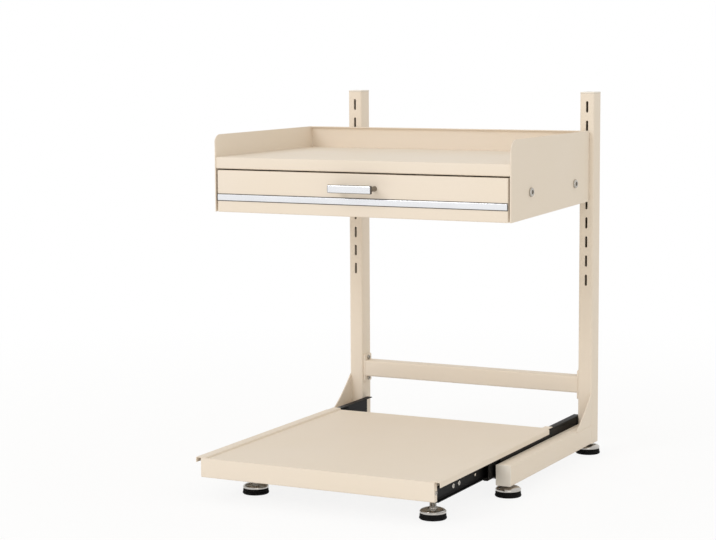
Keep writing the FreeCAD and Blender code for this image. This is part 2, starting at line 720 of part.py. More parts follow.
def build_tray():
    """Tray deck with raised sides and notched back corners, its front and its two side channels."""
    sheet = "tray_sheet"
    half, step = "tray_half", "(tray_half - tray_ridge)"
    top = [(half, "-tray_lip"), (half, "0"), (step, "0"), (step, "-tray_step")]
    under = [(f"{step} + {sheet}", f"-tray_step - {sheet}"), (f"{step} + {sheet}", f"-{sheet}"),
             (f"{half} - {sheet}", f"-{sheet}"), (f"{half} - {sheet}", "-tray_lip")]
    points = top + flipped(top) + flipped(under) + under
    deep = f"(tray_deep + tray_tail - {sheet})"
    deck = prism("DeckBody", "XZ_Plane", points, deep, back=True)
    notches = [box(low, f"tray_deep - {sheet}", "-tray_lip - 1", f"{half} - tail_half + 1",
                   "tray_tail + 1", "tray_lip + 2")
               for low in ("tail_half", f"-{half} - 1")]
    hem = box(f"-{step}", f"{deep} - {sheet}", "-tray_lip", f"2 * {step}", sheet,
              "tray_lip - tray_step")
    node("tray_deck", joined(cut(deck, *notches), hem), "base_mid", f"{sheet} - tray_out", "tray_top")
    half = "tray_front_half"
    tall = f"tray_top - {sheet} - tray_front_bottom"
    outer = box(f"-({half})", 0, 0, f"2 * ({half})", "tray_return", tall)
    hollow = box(f"{sheet} - ({half})", sheet, sheet, f"2 * (({half}) - {sheet})",
                 "tray_return", tall)
    node("tray_front", cut(outer, hollow), "base_mid", "-tray_out", "tray_front_bottom")
    long = "tray_deep - tray_return - channel_short"
    tall = f"tray_top - tray_step - {sheet} - channel_bottom"
    for name, side in SIDES.items():
        wide = f"channel_wide_{name}"
        outer = box(f"-{wide} / 2", 0, 0, wide, long, tall)
        hollow = box(f"{sheet} - {wide} / 2", -1, -1, f"{wide} - 2 * {sheet}",
                     f"{long} + 2", f"{tall} - {sheet} + 1")
        node(f"tray_channel_{name}", cut(outer, hollow), f"base_mid + {side} * foot_half_{name}",
             "tray_return - tray_out", "channel_bottom")


def flipped(points):
    """The same points on the other side of the middle line, in reverse order."""
    return [(f"-({x})", z) for x, z in reversed(points)]


def build_all():
    """Build every sub-part of the stand."""
    edges = {"left": "left_upright + upright_wide / 2", "right": "panel_half"}
    for name, side in SIDES.items():
        middle = f"{name}_upright"
        build_upright(name, middle)
        build_upright_cap(name, middle)
        build_rail(name, middle)
        build_gusset(name, middle)
        build_side_panel(side, name)
        build_hook_bracket(name, middle, edges[name])
    build_cross_bar()
    build_shelf_top()
    build_back_panel()
    build_slides()
    build_drawer()
    build_tray()
    build_feet()


def save_all():
    """Check every object and write each sub-part to its own file."""
    DOC.recompute()
    for item in DOC.Objects:
        if "Invalid" in item.State or "Error" in item.State:
            raise RuntimeError(f"{item.Label} did not recompute")
    os.makedirs("parts", exist_ok=True)
    for thing in NODES:
        shape = thing.Shape
        if shape.isNull() or not shape.isValid():
            raise RuntimeError(f"{thing.Label} has no valid shape")
        shape.exportStep(f"parts/{thing.Label}.step")
        print(thing.Label, len(shape.Solids), round(shape.Volume))


build_all()
save_all()
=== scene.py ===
import json
import math

import bpy
import numpy as np
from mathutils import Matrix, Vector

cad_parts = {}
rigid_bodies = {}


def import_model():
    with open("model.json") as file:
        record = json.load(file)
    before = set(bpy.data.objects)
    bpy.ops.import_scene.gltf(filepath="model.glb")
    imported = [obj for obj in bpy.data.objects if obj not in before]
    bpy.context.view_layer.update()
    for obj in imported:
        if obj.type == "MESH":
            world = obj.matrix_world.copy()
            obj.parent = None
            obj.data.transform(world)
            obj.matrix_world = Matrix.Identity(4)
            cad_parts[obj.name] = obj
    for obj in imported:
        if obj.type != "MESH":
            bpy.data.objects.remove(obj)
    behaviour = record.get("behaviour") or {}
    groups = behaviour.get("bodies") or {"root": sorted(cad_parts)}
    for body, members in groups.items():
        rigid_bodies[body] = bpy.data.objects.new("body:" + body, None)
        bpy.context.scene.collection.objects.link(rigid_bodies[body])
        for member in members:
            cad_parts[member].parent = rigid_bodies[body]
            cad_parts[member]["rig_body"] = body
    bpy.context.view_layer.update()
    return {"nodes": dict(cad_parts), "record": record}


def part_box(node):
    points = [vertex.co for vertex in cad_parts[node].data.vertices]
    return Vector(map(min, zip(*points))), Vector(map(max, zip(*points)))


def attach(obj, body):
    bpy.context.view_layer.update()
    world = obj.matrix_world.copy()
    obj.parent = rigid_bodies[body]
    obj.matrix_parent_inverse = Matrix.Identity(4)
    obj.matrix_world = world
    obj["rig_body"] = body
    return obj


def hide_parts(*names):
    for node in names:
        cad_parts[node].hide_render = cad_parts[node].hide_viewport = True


# Microwave stand with drawer. Lengths are metres, mm turns millimetres into them.
# X runs to the right, Y to the back and Z up from the floor, as in the frame.
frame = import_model()
mm = 0.001
hair = 1e-6  # two places that lie closer than this are one
print("frame loaded,", len(frame["nodes"]), "nodes")


def fillSockets(node, sockets):
    # each named socket takes a wire's link or a plain value
    for key, value in sockets.items():
        if isinstance(value, Wire):
            node.id_data.links.new(value.socket, node.inputs[key])
        else:
            node.inputs[key].default_value = value


class Wire:
    # One socket of a material's tree. Sums and products on wires add Math nodes.
    def __init__(self, tree, socket=None):
        self.tree = tree
        self.socket = socket

    def add(self, kind, settings=None, sockets=None, out=0):
        # a node of any kind: its settings first, then its sockets
        made = self.tree.nodes.new("ShaderNode" + kind)
        for key, value in (settings or {}).items():
            setattr(made, key, value)
        fillSockets(made, sockets or {})
        return Wire(self.tree, made.outputs[out])

    def math(self, operation, first, second=0.0):
        return self.add("Math", {"operation": operation}, {0: first, 1: second})

    def __add__(self, other):
        return self.math("ADD", self, other)

    def __radd__(self, other):
        return self.math("ADD", other, self)

    def __mul__(self, other):
        return self.math("MULTIPLY", self, other)

    def __rmul__(self, other):
        return self.math("MULTIPLY", other, self)

    def between(self, tones):
        # a colour between two screen colours, by this wire's value
        first, second = [tone(*screen) for screen in tones]
        return self.add("Mix", {"data_type": "RGBA"}, {0: self, 6: first, 7: second}, 2)


def tone(red, green, blue):
    # A screen colour of 0 to 255 as a linear one: a straight line near black, and above it
    # the power 2.4 of (screen + 0.055) / 1.055.
    screen = np.array([red, green, blue]) / 255
    low = screen / 12.92
    high = ((screen + 0.055) / 1.055) ** 2.4
    return (*np.where(screen <= 0.04045, low, high), 1.0)


def newFinish(name):
    # an empty material: its wire, its surface shader's node, and the object's own coordinates
    material = bpy.data.materials.new(name)
    material.use_nodes = True
    wire = Wire(material.node_tree)
    shader = material.node_tree.nodes["Principled BSDF"]
    place = wire.add("TexCoord", out=3)
    return material, wire, shader, place


def noise(wire, place, scale, detail=2.0, rough=0.5, stretch=(1, 1, 1)):
    # noise of that many waves to a metre, drawn out along the axes whose stretch is under 1
    spot = wire.add("Mapping", {}, {"Vector": place, "Scale": stretch})
    sockets = {"Vector": spot, "Scale": scale, "Detail": detail, "Roughness": rough}
    return wire.add("TexNoise", {}, sockets)


def bump(wire, pattern, values):
    # dimples as deep as the finish's height where the pattern is 1
    sockets = {"Height": pattern, "Distance": values["height"], "Strength": values["strength"]}
    return wire.add("Bump", {}, sockets)


paintValues = {
    "tones": [(237, 226, 213), (235, 223, 206)],
    "cloudScale": 9.0,
    "peelScale": 620.0,
    "grainScale": 3200.0,
    "grainShare": 0.35,
    "height": 0.035 * mm,
    "strength": 0.8,
    "roughness": 0.52,
    "roughnessSpread": 0.08,
    "specular": 0.3,
    "coat": 0.03,
    "coatRoughness": 0.4,
}


def makePaint():
    # Powder coat: two close creams in slow clouds, orange-peel dimples and a finer grain.
    values = paintValues
    material, wire, shader, place = newFinish("creamPaint")
    cloud = noise(wire, place, values["cloudScale"], 3.0)
    peel = noise(wire, place, values["peelScale"], 2.0)
    grain = noise(wire, place, values["grainScale"], 1.0)
    fillSockets(shader, {
        "Base Color": cloud.between(values["tones"]),
        "Roughness": grain * values["roughnessSpread"] + values["roughness"],
        "Specular IOR Level": values["specular"],
        "Normal": bump(wire, peel + grain * values["grainShare"], values),
        "Coat Weight": values["coat"],
        "Coat Roughness": values["coatRoughness"],
    })
    return material


slideBlackValues = {
    "tones": [(10, 9, 9), (20, 19, 19)],
    "wipeScale": 320.0,
    "stretch": (1.0, 0.03, 1.0),
    "grainScale": 2600.0,
    "height": 0.014 * mm,
    "strength": 0.6,
    "roughness": 0.32,
    "roughnessSpread": 0.25,
    "specular": 0.08,
}


def makeSlideBlack():
    # Black-plated steel: draw lines along the slide, worn a little lighter, with a fine grain.
    values = slideBlackValues
    material, wire, shader, place = newFinish("slideBlack")
    wipe = noise(wire, place, values["wipeScale"], 4.0, 0.6, values["stretch"])
    grain = noise(wire, place, values["grainScale"])
    fillSockets(shader, {
        "Base Color": wipe.between(values["tones"]),
        "Roughness": wipe * values["roughnessSpread"] + values["roughness"],
        "Specular IOR Level": values["specular"],
        "Normal": bump(wire, grain + wipe, values),
    })
    return material


# Caps of moulded plastic with a spark-eroded grain, dull rubber with dust in patches, and a
# brown-grey painted shade for the inside of a folded channel, darker than its outer paint.
dullValues = {
    "creamPlastic": {"tones": [(240, 234, 225), (236, 228, 216)], "patchScale": 60.0,
                     "patchDetail": 2.0, "grainScale": 1900.0, "grainDetail": 3.0,
                     "height": 0.02 * mm, "strength": 0.8, "roughness": 0.44,
                     "roughnessSpread": 0.12, "specular": 0.5},
    "footRubber": {"tones": [(11, 11, 12), (24, 23, 23)], "patchScale": 160.0,
                   "patchDetail": 4.0, "grainScale": 2400.0, "grainDetail": 3.0,
                   "height": 0.04 * mm, "strength": 0.9, "roughness": 0.54,
                   "roughnessSpread": 0.16, "specular": 0.08},
    # painted shade inside the uprights' channels: brown-grey, darker than the paint
    "paintedInsideShade": {"tones": [(108, 94, 76), (142, 125, 102)], "patchScale": 70.0,
                  "patchDetail": 4.0, "grainScale": 1400.0, "grainDetail": 2.0,
                  "height": 0.03 * mm, "strength": 0.7, "roughness": 0.52,
                  "roughnessSpread": 0.2, "specular": 0.5},
}


def makeDull(name):
    # A dull finish: two colours in patches, and a grain that dimples it and varies its gloss.
    values = dullValues[name]
    material, wire, shader, place = newFinish(name)
    patch = noise(wire, place, values["patchScale"], values["patchDetail"])
    grain = noise(wire, place, values["grainScale"], values["grainDetail"])
    fillSockets(shader, {
        "Base Color": patch.between(values["tones"]),
        "Roughness": grain * values["roughnessSpread"] + values["roughness"],
        "Specular IOR Level": values["specular"],
        "Normal": bump(wire, grain, values),
    })
    return material


turnedSteel = {"brushScale": 1500.0, "stretch": (1.0, 1.0, 1.0), "smudgeScale": 90.0,
               "height": 0.008 * mm, "smudge": 0.12, "brushGloss": 0.1}
metalValues = {
    "trimMetal": {"tones": [(244, 245, 247), (228, 229, 232)], "brushScale": 900.0,
                  "stretch": (0.02, 1.0, 1.0), "smudgeScale": 14.0, "height": 0.006 * mm,
                  "smudge": 0.08, "brushGloss": 0.08, "roughness": 0.16},
    # a darker copy of the trim's chrome, painted shade: the dark lines of the strip's seat and the
    # handle bar's dark rounded edges
    "trimPaintedShade": {"tones": [(104, 100, 95), (78, 75, 71)], "brushScale": 900.0,
                  "stretch": (0.05, 1.0, 1.0), "smudgeScale": 30.0, "height": 0.006 * mm,
                  "smudge": 0.1, "brushGloss": 0.08, "roughness": 0.3},
    "postMetal": {**turnedSteel, "tones": [(150, 143, 133), (112, 106, 97)], "roughness": 0.22},
    "screwMetal": {**turnedSteel, "tones": [(206, 201, 193), (160, 155, 147)], "roughness": 0.16},
    "footMetal": {"tones": [(204, 200, 195), (162, 158, 152)], "brushScale": 1200.0,
                  "stretch": (1.0, 1.0, 0.1), "smudgeScale": 60.0, "height": 0.006 * mm,
                  "smudge": 0.1, "brushGloss": 0.06, "roughness": 0.07},
    "ballMetal": {"tones": [(216, 217, 220), (196, 197, 200)], "brushScale": 2000.0,
                  "stretch": (1.0, 1.0, 1.0), "smudgeScale": 200.0, "height": 0.002 * mm,
                  "smudge": 0.05, "brushGloss": 0.03, "roughness": 0.07},
    "insertMetal": {"tones": [(186, 184, 172), (160, 158, 149)], "brushScale": 900.0,
                    "stretch": (1.0, 1.0, 1.0), "smudgeScale": 120.0, "height": 0.01 * mm,
                    "smudge": 0.15, "brushGloss": 0.12, "roughness": 0.3},
}
brushStrength = 0.7


def makeMetal(name):
    # Bare metal: brushing stretched along one axis, smudges in the gloss and faint clouds in
    # the colour. Its roughness is smudge + brushing + a base, each with its own share.
    values = {**metalValues[name], "strength": brushStrength}
    material, wire, shader, place = newFinish(name)
    brush = noise(wire, place, values["brushScale"], 4.0, 0.6, values["stretch"])
    smudge = noise(wire, place, values["smudgeScale"], 3.0)
    gloss = smudge * values["smudge"] + brush * values["brushGloss"]
    fillSockets(shader, {
        "Base Color": smudge.between(values["tones"]),
        "Roughness": gloss + values["roughness"],
        "Metallic": 1.0,
        "Normal": bump(wire, brush, values),
    })
    return material


# the finish of each material slot, and then three that only some pieces take
finishes = {
    "cream_paint": makePaint(),
    "cream_plastic": makeDull("creamPlastic"),
    "chrome_trim": makeMetal("trimMetal"),
    "bright_screws": makeMetal("screwMetal"),
    "slide_black": makeSlideBlack(),
    "ball_steel": makeMetal("ballMetal"),
    "foot_rubber": makeDull("footRubber"),
    "foot_chrome": makeMetal("footMetal"),
    "insert_steel": makeMetal("insertMetal"),
    # painted shade for the inside of the uprights' channels
    "inside": makeDull("paintedInsideShade"),
    # painted shade: the trim's chrome in a darker copy
    "trim_painted_shade": makeMetal("trimPaintedShade"),
    "screw_dark": makeMetal("postMetal"),
}
print("finishes made")


def boxOf(node):
    low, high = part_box(node)
    return np.array(low), np.array(high)


def marks(*groups):
    # every mark once, in order
    return np.unique(np.round(np.concatenate(groups), 7))


def bentLine(corners, sheet, bend, steps=5):
    # The skin line of a folded sheet. Each corner becomes an arc that is tangent to both runs:
    # centre = start + radius * side, and the arc is the start turned about it. The sheet lies
    # to the right of the line, so a right turn has the bend radius plus the sheet.
    corners = np.asarray(corners, float)
    runs = np.diff(corners, axis=0)
    runs /= np.linalg.norm(runs, axis=1)[:, None]
    points = [corners[:1]]
    normals = [np.array([[runs[0][1], -runs[0][0]]])]
    for corner, before, after in zip(corners[1:-1], runs, runs[1:]):
        turn = math.atan2(before[0] * after[1] - before[1] * after[0], before @ after)
        radius = bend + (sheet if turn < 0 else 0)
        start = corner - before * radius * math.tan(abs(turn) / 2)
        side = np.array([-before[1], before[0]]) * math.copysign(1, turn)
        angles = np.linspace(0, turn, steps + 1)
        cosines, sines = np.cos(angles), np.sin(angles)
        spin = np.stack([np.stack([cosines, -sines], 1), np.stack([sines, cosines], 1)], 1)
        centre = start + side * radius
        points.append(centre + spin @ (start - centre))
        normals.append(spin @ np.array([before[1], -before[0]]))
    points.append(corners[-1:])
    normals.append(np.array([[runs[-1][1], -runs[-1][0]]]))
    points, normals = np.concatenate(points), np.concatenate(normals)
    lengths = np.linalg.norm(np.diff(points, axis=0), axis=1)
    return points, normals, np.concatenate([[0], np.cumsum(lengths)])


def gridQuads(index):
    # the four corners of each cell of a grid of point numbers
    return np.stack([index[:-1, :-1], index[1:, :-1], index[1:, 1:], index[:-1, 1:]], 2)


def flatPattern(across, along, holes=()):
    # A sheet before it is bent: a grid of marks. A hole clears the quads of its cell, and rings
    # run from the cell's edge to the hole: a stadium about (s, t), the nearest point of its
    # straight middle plus half its width towards the cell's edge.
    index = np.arange(len(across) * len(along)).reshape(len(across), len(along))
    flat = np.stack(np.meshgrid(across, along, indexing="ij"), 2).reshape(-1, 2)
    keep = np.ones((len(across) - 1, len(along) - 1), bool)
    rings, ringQuads = [flat], []
    count = len(flat)
    ends = np.array([-1, 1])
    for hole in holes:
        s, t = hole["at"]
        i, k = np.searchsorted(across, s - hair + ends * hole["cellWide"])
        j, m = np.searchsorted(along, t - hair + ends * hole["cellLong"])
        keep[i:k, j:m] = False
        outer = np.concatenate([index[i:k, j], index[k, j:m], index[k:i:-1, m], index[i, m:j:-1]])
        edge = flat[outer]
        straight = (hole["long"] - hole["wide"]) / 2
        nearest = np.clip(edge[:, 1], t - straight, t + straight)
        middle = np.stack([np.full(len(edge), s), nearest], 1)
        away = edge - middle
        rim = middle + away / np.linalg.norm(away, axis=1)[:, None] * hole["wide"] / 2
        for share in (0.5, 1.0):
            inner = count + np.arange(len(edge))
            rings.append(edge + (rim - edge) * share)
            ringQuads.append(np.stack([outer, np.roll(outer, -1), np.roll(inner, -1), inner], 1))
            outer = inner
            count += len(edge)
    return np.concatenate(rings), np.concatenate([gridQuads(index)[keep], *ringQuads])


def holeRow(low, high, spots, hole):
    # The marks along a sheet from low to high, the same hole at each spot of its middle line, and
    # the marks across it: each hole lies in a cell of closer marks.
    holes = [{**hole, "at": (0, spot)} for spot in spots]
    cell = np.linspace(-hole["cellLong"], hole["cellLong"], hole["marksLong"])
    across = np.linspace(-hole["cellWide"], hole["cellWide"], hole["marksWide"])
    return marks([low, high], np.add.outer(spots, cell).ravel()), holes, across if holes else ()


def thickened(skin, back, quads):
    # Two skins and their rims: an edge that only one quad uses gets a quad to the other skin.
    rounded = np.round(skin, 8)
    first, joined = np.unique(rounded, axis=0, return_index=True, return_inverse=True)[1:]
    quads = joined.reshape(-1)[quads]
    edges = np.concatenate([quads[:, [a, (a + 1) % 4]] for a in range(4)])
    keys = np.sort(edges, axis=1)
    place, uses = np.unique(keys, axis=0, return_index=True, return_counts=True)[1:]
    rim = edges[place[uses == 1]]
    count = len(first)
    rims = np.stack([rim[:, 1], rim[:, 0], rim[:, 0] + count, rim[:, 1] + count], 1)
    points = np.concatenate([skin[first], back[first]])
    return points, np.concatenate([quads, quads[:, ::-1] + count, rims])


def twoSkins(flat, points, normals, lengths, sheet):
    # where a flat pattern's points come to lie: on the skin line at their length along it, and
    # a sheet's thickness along its normal
    at = [[np.interp(flat[:, 0], lengths, rows[:, n]) for n in (0, 1)] for rows in (points, normals)]
    plane, normal = np.stack(at[0], 1), np.stack(at[1], 1)
    return plane, plane + normal * sheet


def bentSheet(values, corners, axis, along, holes=(), extra=()):
    # A flat pattern carried over its bends: s runs along the skin line, t along the axis.
    # Marks and holes across the sheet are measured from the middle of its skin line.
    sheet = values["sheet"]
    points, normals, lengths = bentLine(corners, sheet, values["bend"])
    lengths = lengths - lengths[-1] / 2
    across = marks(lengths, np.asarray(extra, float))
    flat, quads = flatPattern(across, np.asarray(along, float), holes)
    skins = [np.insert(plane, axis, flat[:, 1], axis=1)
             for plane in twoSkins(flat, points, normals, lengths, sheet)]
    return thickened(*skins, quads)


def ringGrid(rings):
    # rings of equal length, one after another, as a closed band of quads
    count, size = rings.shape[:2]
    index = np.arange(count * size).reshape(count, size)
    after = np.roll(index, -1, axis=1)
    quads = np.stack([index[:-1], after[:-1], after[1:], index[1:]], 2).reshape(-1, 4)
    return rings.reshape(-1, 3), quads


def around(long, wide, corner, profile, place, steps=5):
    # A profile carried round a rounded rectangle of half sizes long and wide. A profile row is
    # (inset, height, scale): the rectangle and its corner radius shrink by the inset, and the
    # scale pulls the ring to the middle, so that 0 closes it.
    turns = np.concatenate([np.linspace(q, q + 1, steps + 1) for q in range(4)]) * math.pi / 2
    signs = np.repeat([[1, 1], [-1, 1], [-1, -1], [1, -1]], steps + 1, axis=0)
    inset, height, scale = np.asarray(profile, float).T[:, :, None]
    radius = np.maximum(corner - inset, 0)
    first = signs[:, 0] * np.maximum(long - inset - radius, 0) + radius * np.cos(turns)
    second = signs[:, 1] * np.maximum(wide - inset - radius, 0) + radius * np.sin(turns)
    return ringGrid(place(first * scale, second * scale, height + 0 * first))


def facing(axis, middle, way=1):
    # where a ring's two coordinates and its height go when the height runs along an axis
    order = [(axis + 1) % 3, (axis + 2) % 3, axis]

    def put(first, second, height):
        parts = [None, None, None]
        for slot, values in zip(order, (first, second, height * way)):
            parts[slot] = values + middle[slot]
        return np.stack(parts, 2)

    return put


def standing(low, high, axis):
    # a box's half sizes across an axis, its length along it, and the middle of its low end
    middle = (low + high) / 2
    middle[axis] = low[axis]
    size = high - low
    return size[(axis + 1) % 3] / 2, size[(axis + 2) % 3] / 2, size[axis], middle


def quarter(radius, inset, height, rising, steps=4):
    # a quarter round of a profile's edge, from its flat to its wall or back
    angles = np.linspace(0, math.pi / 2, steps + 1)
    if not rising:
        angles = angles[::-1]
    sign = 1 if rising else -1
    return [(inset + radius * (1 - math.sin(a)), height + sign * radius * (1 - math.cos(a)), 1.0)
            for a in angles]


def block(low, high, edge, axis, corner=0.0, steps=4):
    # A block with rounded edges: flat, quarter round, wall, quarter round, flat.
    long, wide, tall, middle = standing(np.array(low, float), np.array(high, float), axis)
    ends = [*quarter(edge, 0, 0, True), *quarter(edge, 0, tall, False)]
    profile = [(edge, 0, 0), *ends, (edge, tall, 0)]
    return around(long, wide, max(corner, edge), profile, facing(axis, middle), steps)


def pan(low, high, sheet, bend, axis, corner, rim=0.25 * mm):
    # A folded pan: out over the bend and along the wall, over the rim, and back inside.
    long, wide, deep, middle = standing(low, high, axis)
    outside = [(bend + sheet, 0, 0), *quarter(bend + sheet, 0, 0, True)]
    edge = [(0, deep - rim, 1), (rim, deep, 1), (sheet - rim, deep, 1), (sheet, deep - rim, 1)]
    inside = [*quarter(bend, sheet, sheet, True)[::-1], (bend + sheet, sheet, 0)]
    return around(long, wide, corner, outside + edge + inside, facing(axis, middle))


def turned(profile, middle, axis, way=1, count=48, ripple=None):
    # A profile of (radius, height) spun about an axis. A ripple adds to the radius by angle.
    radius, height = np.asarray(profile, float).T[:, :, None]
    angle = np.linspace(0, 2 * math.pi, count, endpoint=False)[None, :]
    if ripple is not None:
        radius = radius + ripple(angle, radius, height)
    put = facing(axis, np.asarray(middle, float), way)
    return ringGrid(put(radius * np.cos(angle), radius * np.sin(angle), height + 0 * angle))


def joinedParts(*parts):
    # several surfaces as one list of points and quads
    counts = np.cumsum([0] + [len(points) for points, quads in parts[:-1]])
    return (np.concatenate([points for points, quads in parts]),
            np.concatenate([quads + count for count, (points, quads) in zip(counts, parts)]))


def outward(points, quads):
    # turns a closed surface the right way out by the sign of its volume
    corners = points[quads]
    volume = sum(np.einsum("ij,ij->i", corners[:, 0], np.cross(corners[:, a], corners[:, a + 1])).sum()
                 for a in (1, 2))
    return quads[:, ::-1] if volume < 0 else quads


def meshObject(name, parts, smooth):
    # Closes seams and poles by joining points in one place, and drops the sides that vanish.
    allPoints, allQuads = joinedParts(*[(points, outward(points, quads)) for points, quads in parts])
    shared, joined = np.unique(np.round(allPoints, 7), axis=0, return_inverse=True)
    quads = joined.reshape(-1)[allQuads]
    repeated = quads == np.roll(quads, -1, axis=1)
    repeats = repeated.sum(1)
    faces = quads[repeats == 0].tolist()
    once = quads[repeats == 1]
    faces += once[~repeated[repeats == 1]].reshape(-1, 3).tolist()
    mesh = bpy.data.meshes.new(name)
    mesh.from_pydata(shared.tolist(), [], faces)
    mesh.validate()
    mesh.polygons.foreach_set("use_smooth", np.ones(len(mesh.polygons), bool))
    mesh.set_sharp_from_angle(angle=math.radians(smooth))
    made = bpy.data.objects.new(name, mesh)
    bpy.context.scene.collection.objects.link(made)
    return made


def softened(piece, width, segments=2, limit=35):
    # rounds the edges that turn by more than the limit
    bevel = piece.modifiers.new("edges", "BEVEL")
    bevel.width = width
    bevel.segments = segments
    bevel.limit_method = "ANGLE"
    bevel.angle_limit = math.radians(limit)
    bevel.harden_normals = True


slotOf = {part["node"]: part["material_slot"] for part in frame["record"]["subparts"]}


def addPiece(node, name, parts, edge=0.0, smooth=32, slot=None, finish=None, stands=True):
    # A piece rides on its node's body and takes the node's slot and finish. It stands for the
    # node, unless it only adds to it.
    piece = meshObject(node + "." + name, parts, smooth)
    if edge:
        softened(piece, edge)
    slot = slot or slotOf[node]
    piece.data.materials.append(finishes[finish or slot])
    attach(piece, frame["nodes"][node]["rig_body"])
    if stands:
        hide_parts(node)
    return piece


def addSheet(node, name, values, corners, axis, along, holes=(), extra=(), more=()):
    # a folded sheet as a piece of its node, joined by more parts
    sheet = bentSheet(values, corners, axis, along, holes, extra)
    return addPiece(node, name, [sheet, *more], values["edge"])


print("tools ready, slots for", len(slotOf), "nodes")


uprightValues = {
    "sheet": 2.0 * mm,
    "bend": 0.9 * mm,
    "lip": 6.0 * mm,
    "slot": {"wide": 4.0 * mm, "long": 19.0 * mm, "cellWide": 6.5 * mm, "cellLong": 13.5 * mm,
             "marksWide": 7, "marksLong": 11},
    "slots": 10,
    "pitch": 32.0 * mm,
    "lowest": 296.0 * mm,
    "edge": 0.25 * mm,
    "capEdge": 0.9 * mm,
    "capCorner": 1.6 * mm,
    # shares of the sheet past which faces inside take the painted shade, and how far a face must look
    # inwards
    "shadeFrom": 0.6,
    "shadeRim": 0.98,
    "shadeLook": 0.5 * mm,
}


def makeUpright(node):
    # A channel open to the back, with its lips folded in, a column of slots in front and painted shade
    # inside.
    values = uprightValues
    low, high = boxOf(node)
    lip = values["lip"]
    corners = [(high[0] - lip, high[1]), (high[0], high[1]), (high[0], low[1]),
               (low[0], low[1]), (low[0], high[1]), (low[0] + lip, high[1])]
    levels = values["lowest"] + values["pitch"] * np.arange(values["slots"])
    slots = holeRow(low[2], high[2], levels, values["slot"])
    paintShadeInside(addSheet(node, "channel", values, corners, 2, *slots), low, high)


def paintShadeInside(piece, low, high):
    # The painted shade goes on faces that lie past most of the sheet's thickness: those that look
    # inwards, and the end rims at the bends.
    values = uprightValues
    sheet = values["sheet"]
    piece.data.materials.append(finishes["inside"])
    count = len(piece.data.polygons)
    middles = np.empty(count * 3)
    normals = np.empty(count * 3)
    piece.data.polygons.foreach_get("center", middles)
    piece.data.polygons.foreach_get("normal", normals)
    middles, normals = middles.reshape(-1, 3)[:, :2], normals.reshape(-1, 3)[:, :2]
    depth = np.minimum(middles - low[:2], high[:2] - middles).min(1)
    inwards = np.einsum("ij,ij->i", normals, (low + high)[:2] / 2 - middles) > values["shadeLook"]
    inner = (depth > sheet * values["shadeFrom"]) & (inwards | (depth < sheet * values["shadeRim"]))
    piece.data.polygons.foreach_set("material_index", inner.astype(np.int32))


def makeCap(node, values, axis):
    # a pressed-in cap with a rounded rim
    addPiece(node, "cap", [block(*boxOf(node), values["capEdge"], axis, values["capCorner"])])


for side in ("left", "right"):
    makeUpright("upright_" + side)
    makeCap("upright_cap_" + side, uprightValues, 2)
print("uprights and their caps made")


railValues = {
    "sheet": 1.5 * mm,
    "bend": 1.2 * mm,
    "stemHole": {"wide": 10.0 * mm, "long": 10.0 * mm, "cellWide": 8.5 * mm, "cellLong": 8.5 * mm,
                 "marksWide": 9, "marksLong": 9},
    "holeAt": -71.25 * mm,
    "edge": 0.25 * mm,
    "capEdge": 0.8 * mm,
    "capCorner": 2.2 * mm,
}


def closedTube(low, high, axis):
    # the outline of a tube across an axis, from the middle of one side right round
    first, second = [n for n in range(3) if n != axis]
    middle = (low[first] + high[first]) / 2
    return [(middle, high[second]), (high[first], high[second]), (high[first], low[second]),
            (low[first], low[second]), (low[first], high[second]), (middle, high[second])]


def makeRail(node):
    # A rounded tube along Y with the stem's hole in its underside.
    values = railValues
    low, high = boxOf(node)
    holes = holeRow(low[1], high[1], [values["holeAt"]], values["stemHole"])
    addSheet(node, "tube", values, closedTube(low, high, 1), 1, *holes)


for side in ("left", "right"):
    makeRail("base_rail_" + side)
    makeCap("rail_cap_" + side, railValues, 1)
print("base rails and their caps made")


weldValues = {
    "step": 0.7 * mm,
    "taper": 14.0,
    "ripple": 0.1,
    "ripplePitch": 1.9 * mm,
    "spokes": 12,
    "sunk": 0.3,
    "smooth": 60,
}


def weldBead(start, stop, radius):
    # A painted weld: a round bead along a seam, whose radius grows at both ends as the square
    # root of the way in, and is rippled by scale marks.
    values = weldValues
    start, stop = np.asarray(start, float), np.asarray(stop, float)
    long = np.linalg.norm(stop - start)
    along = (stop - start) / long
    u = np.linspace(0, 1, int(long / values["step"]) + 2)
    rise = np.minimum(1, np.minimum(u, 1 - u) * values["taper"]) ** 0.5
    wave = np.sin(u * long / values["ripplePitch"] * 2 * math.pi)
    wide = radius * rise * (1 + values["ripple"] * wave)
    angle = np.linspace(0, 2 * math.pi, values["spokes"], endpoint=False)
    first = np.array([along[1], along[2], along[0]])
    second = np.cross(along, first)
    spoke = first * np.cos(angle)[:, None] + second * np.sin(angle)[:, None]
    return ringGrid(start + along * (u * long)[:, None, None] + spoke * wide[:, None, None])


gussetValues = {
    "sag": 3.0 * mm,
    "steps": 24,
    "rows": 5,
    "edge": 0.35 * mm,
    "weld": 1.6 * mm,
    "weldFromTip": 6.0 * mm,
    "weldFromCorner": 4.0 * mm,
}


def makeGusset(node):
    # A fan between the corner and a hollow arc: corner + share * (arc - corner). The arc is the
    # chord plus sag * (1 - (2u - 1)^2) towards the corner.
    values = gussetValues
    low, high = boxOf(node)
    corner = np.array([high[1], low[2]])
    tip = np.array([low[1], low[2]])
    top = np.array([high[1], high[2]])
    u = np.linspace(0, 1, values["steps"] + 1)[:, None]
    chord = top - tip
    inward = np.array([chord[1], -chord[0]]) / np.linalg.norm(chord)
    arc = tip + chord * u + inward * values["sag"] * (1 - (2 * u - 1) ** 2)
    share = np.linspace(0, 1, values["rows"])[:, None, None]
    plane = (corner + share * (arc - corner)).reshape(-1, 2)
    quads = gridQuads(np.arange(len(plane)).reshape(values["rows"], -1)).reshape(-1, 4)
    skins = [np.insert(plane, 0, x, axis=1) for x in (high[0], low[0])]
    addPiece(node, "plate", [thickened(*skins, quads)], values["edge"])


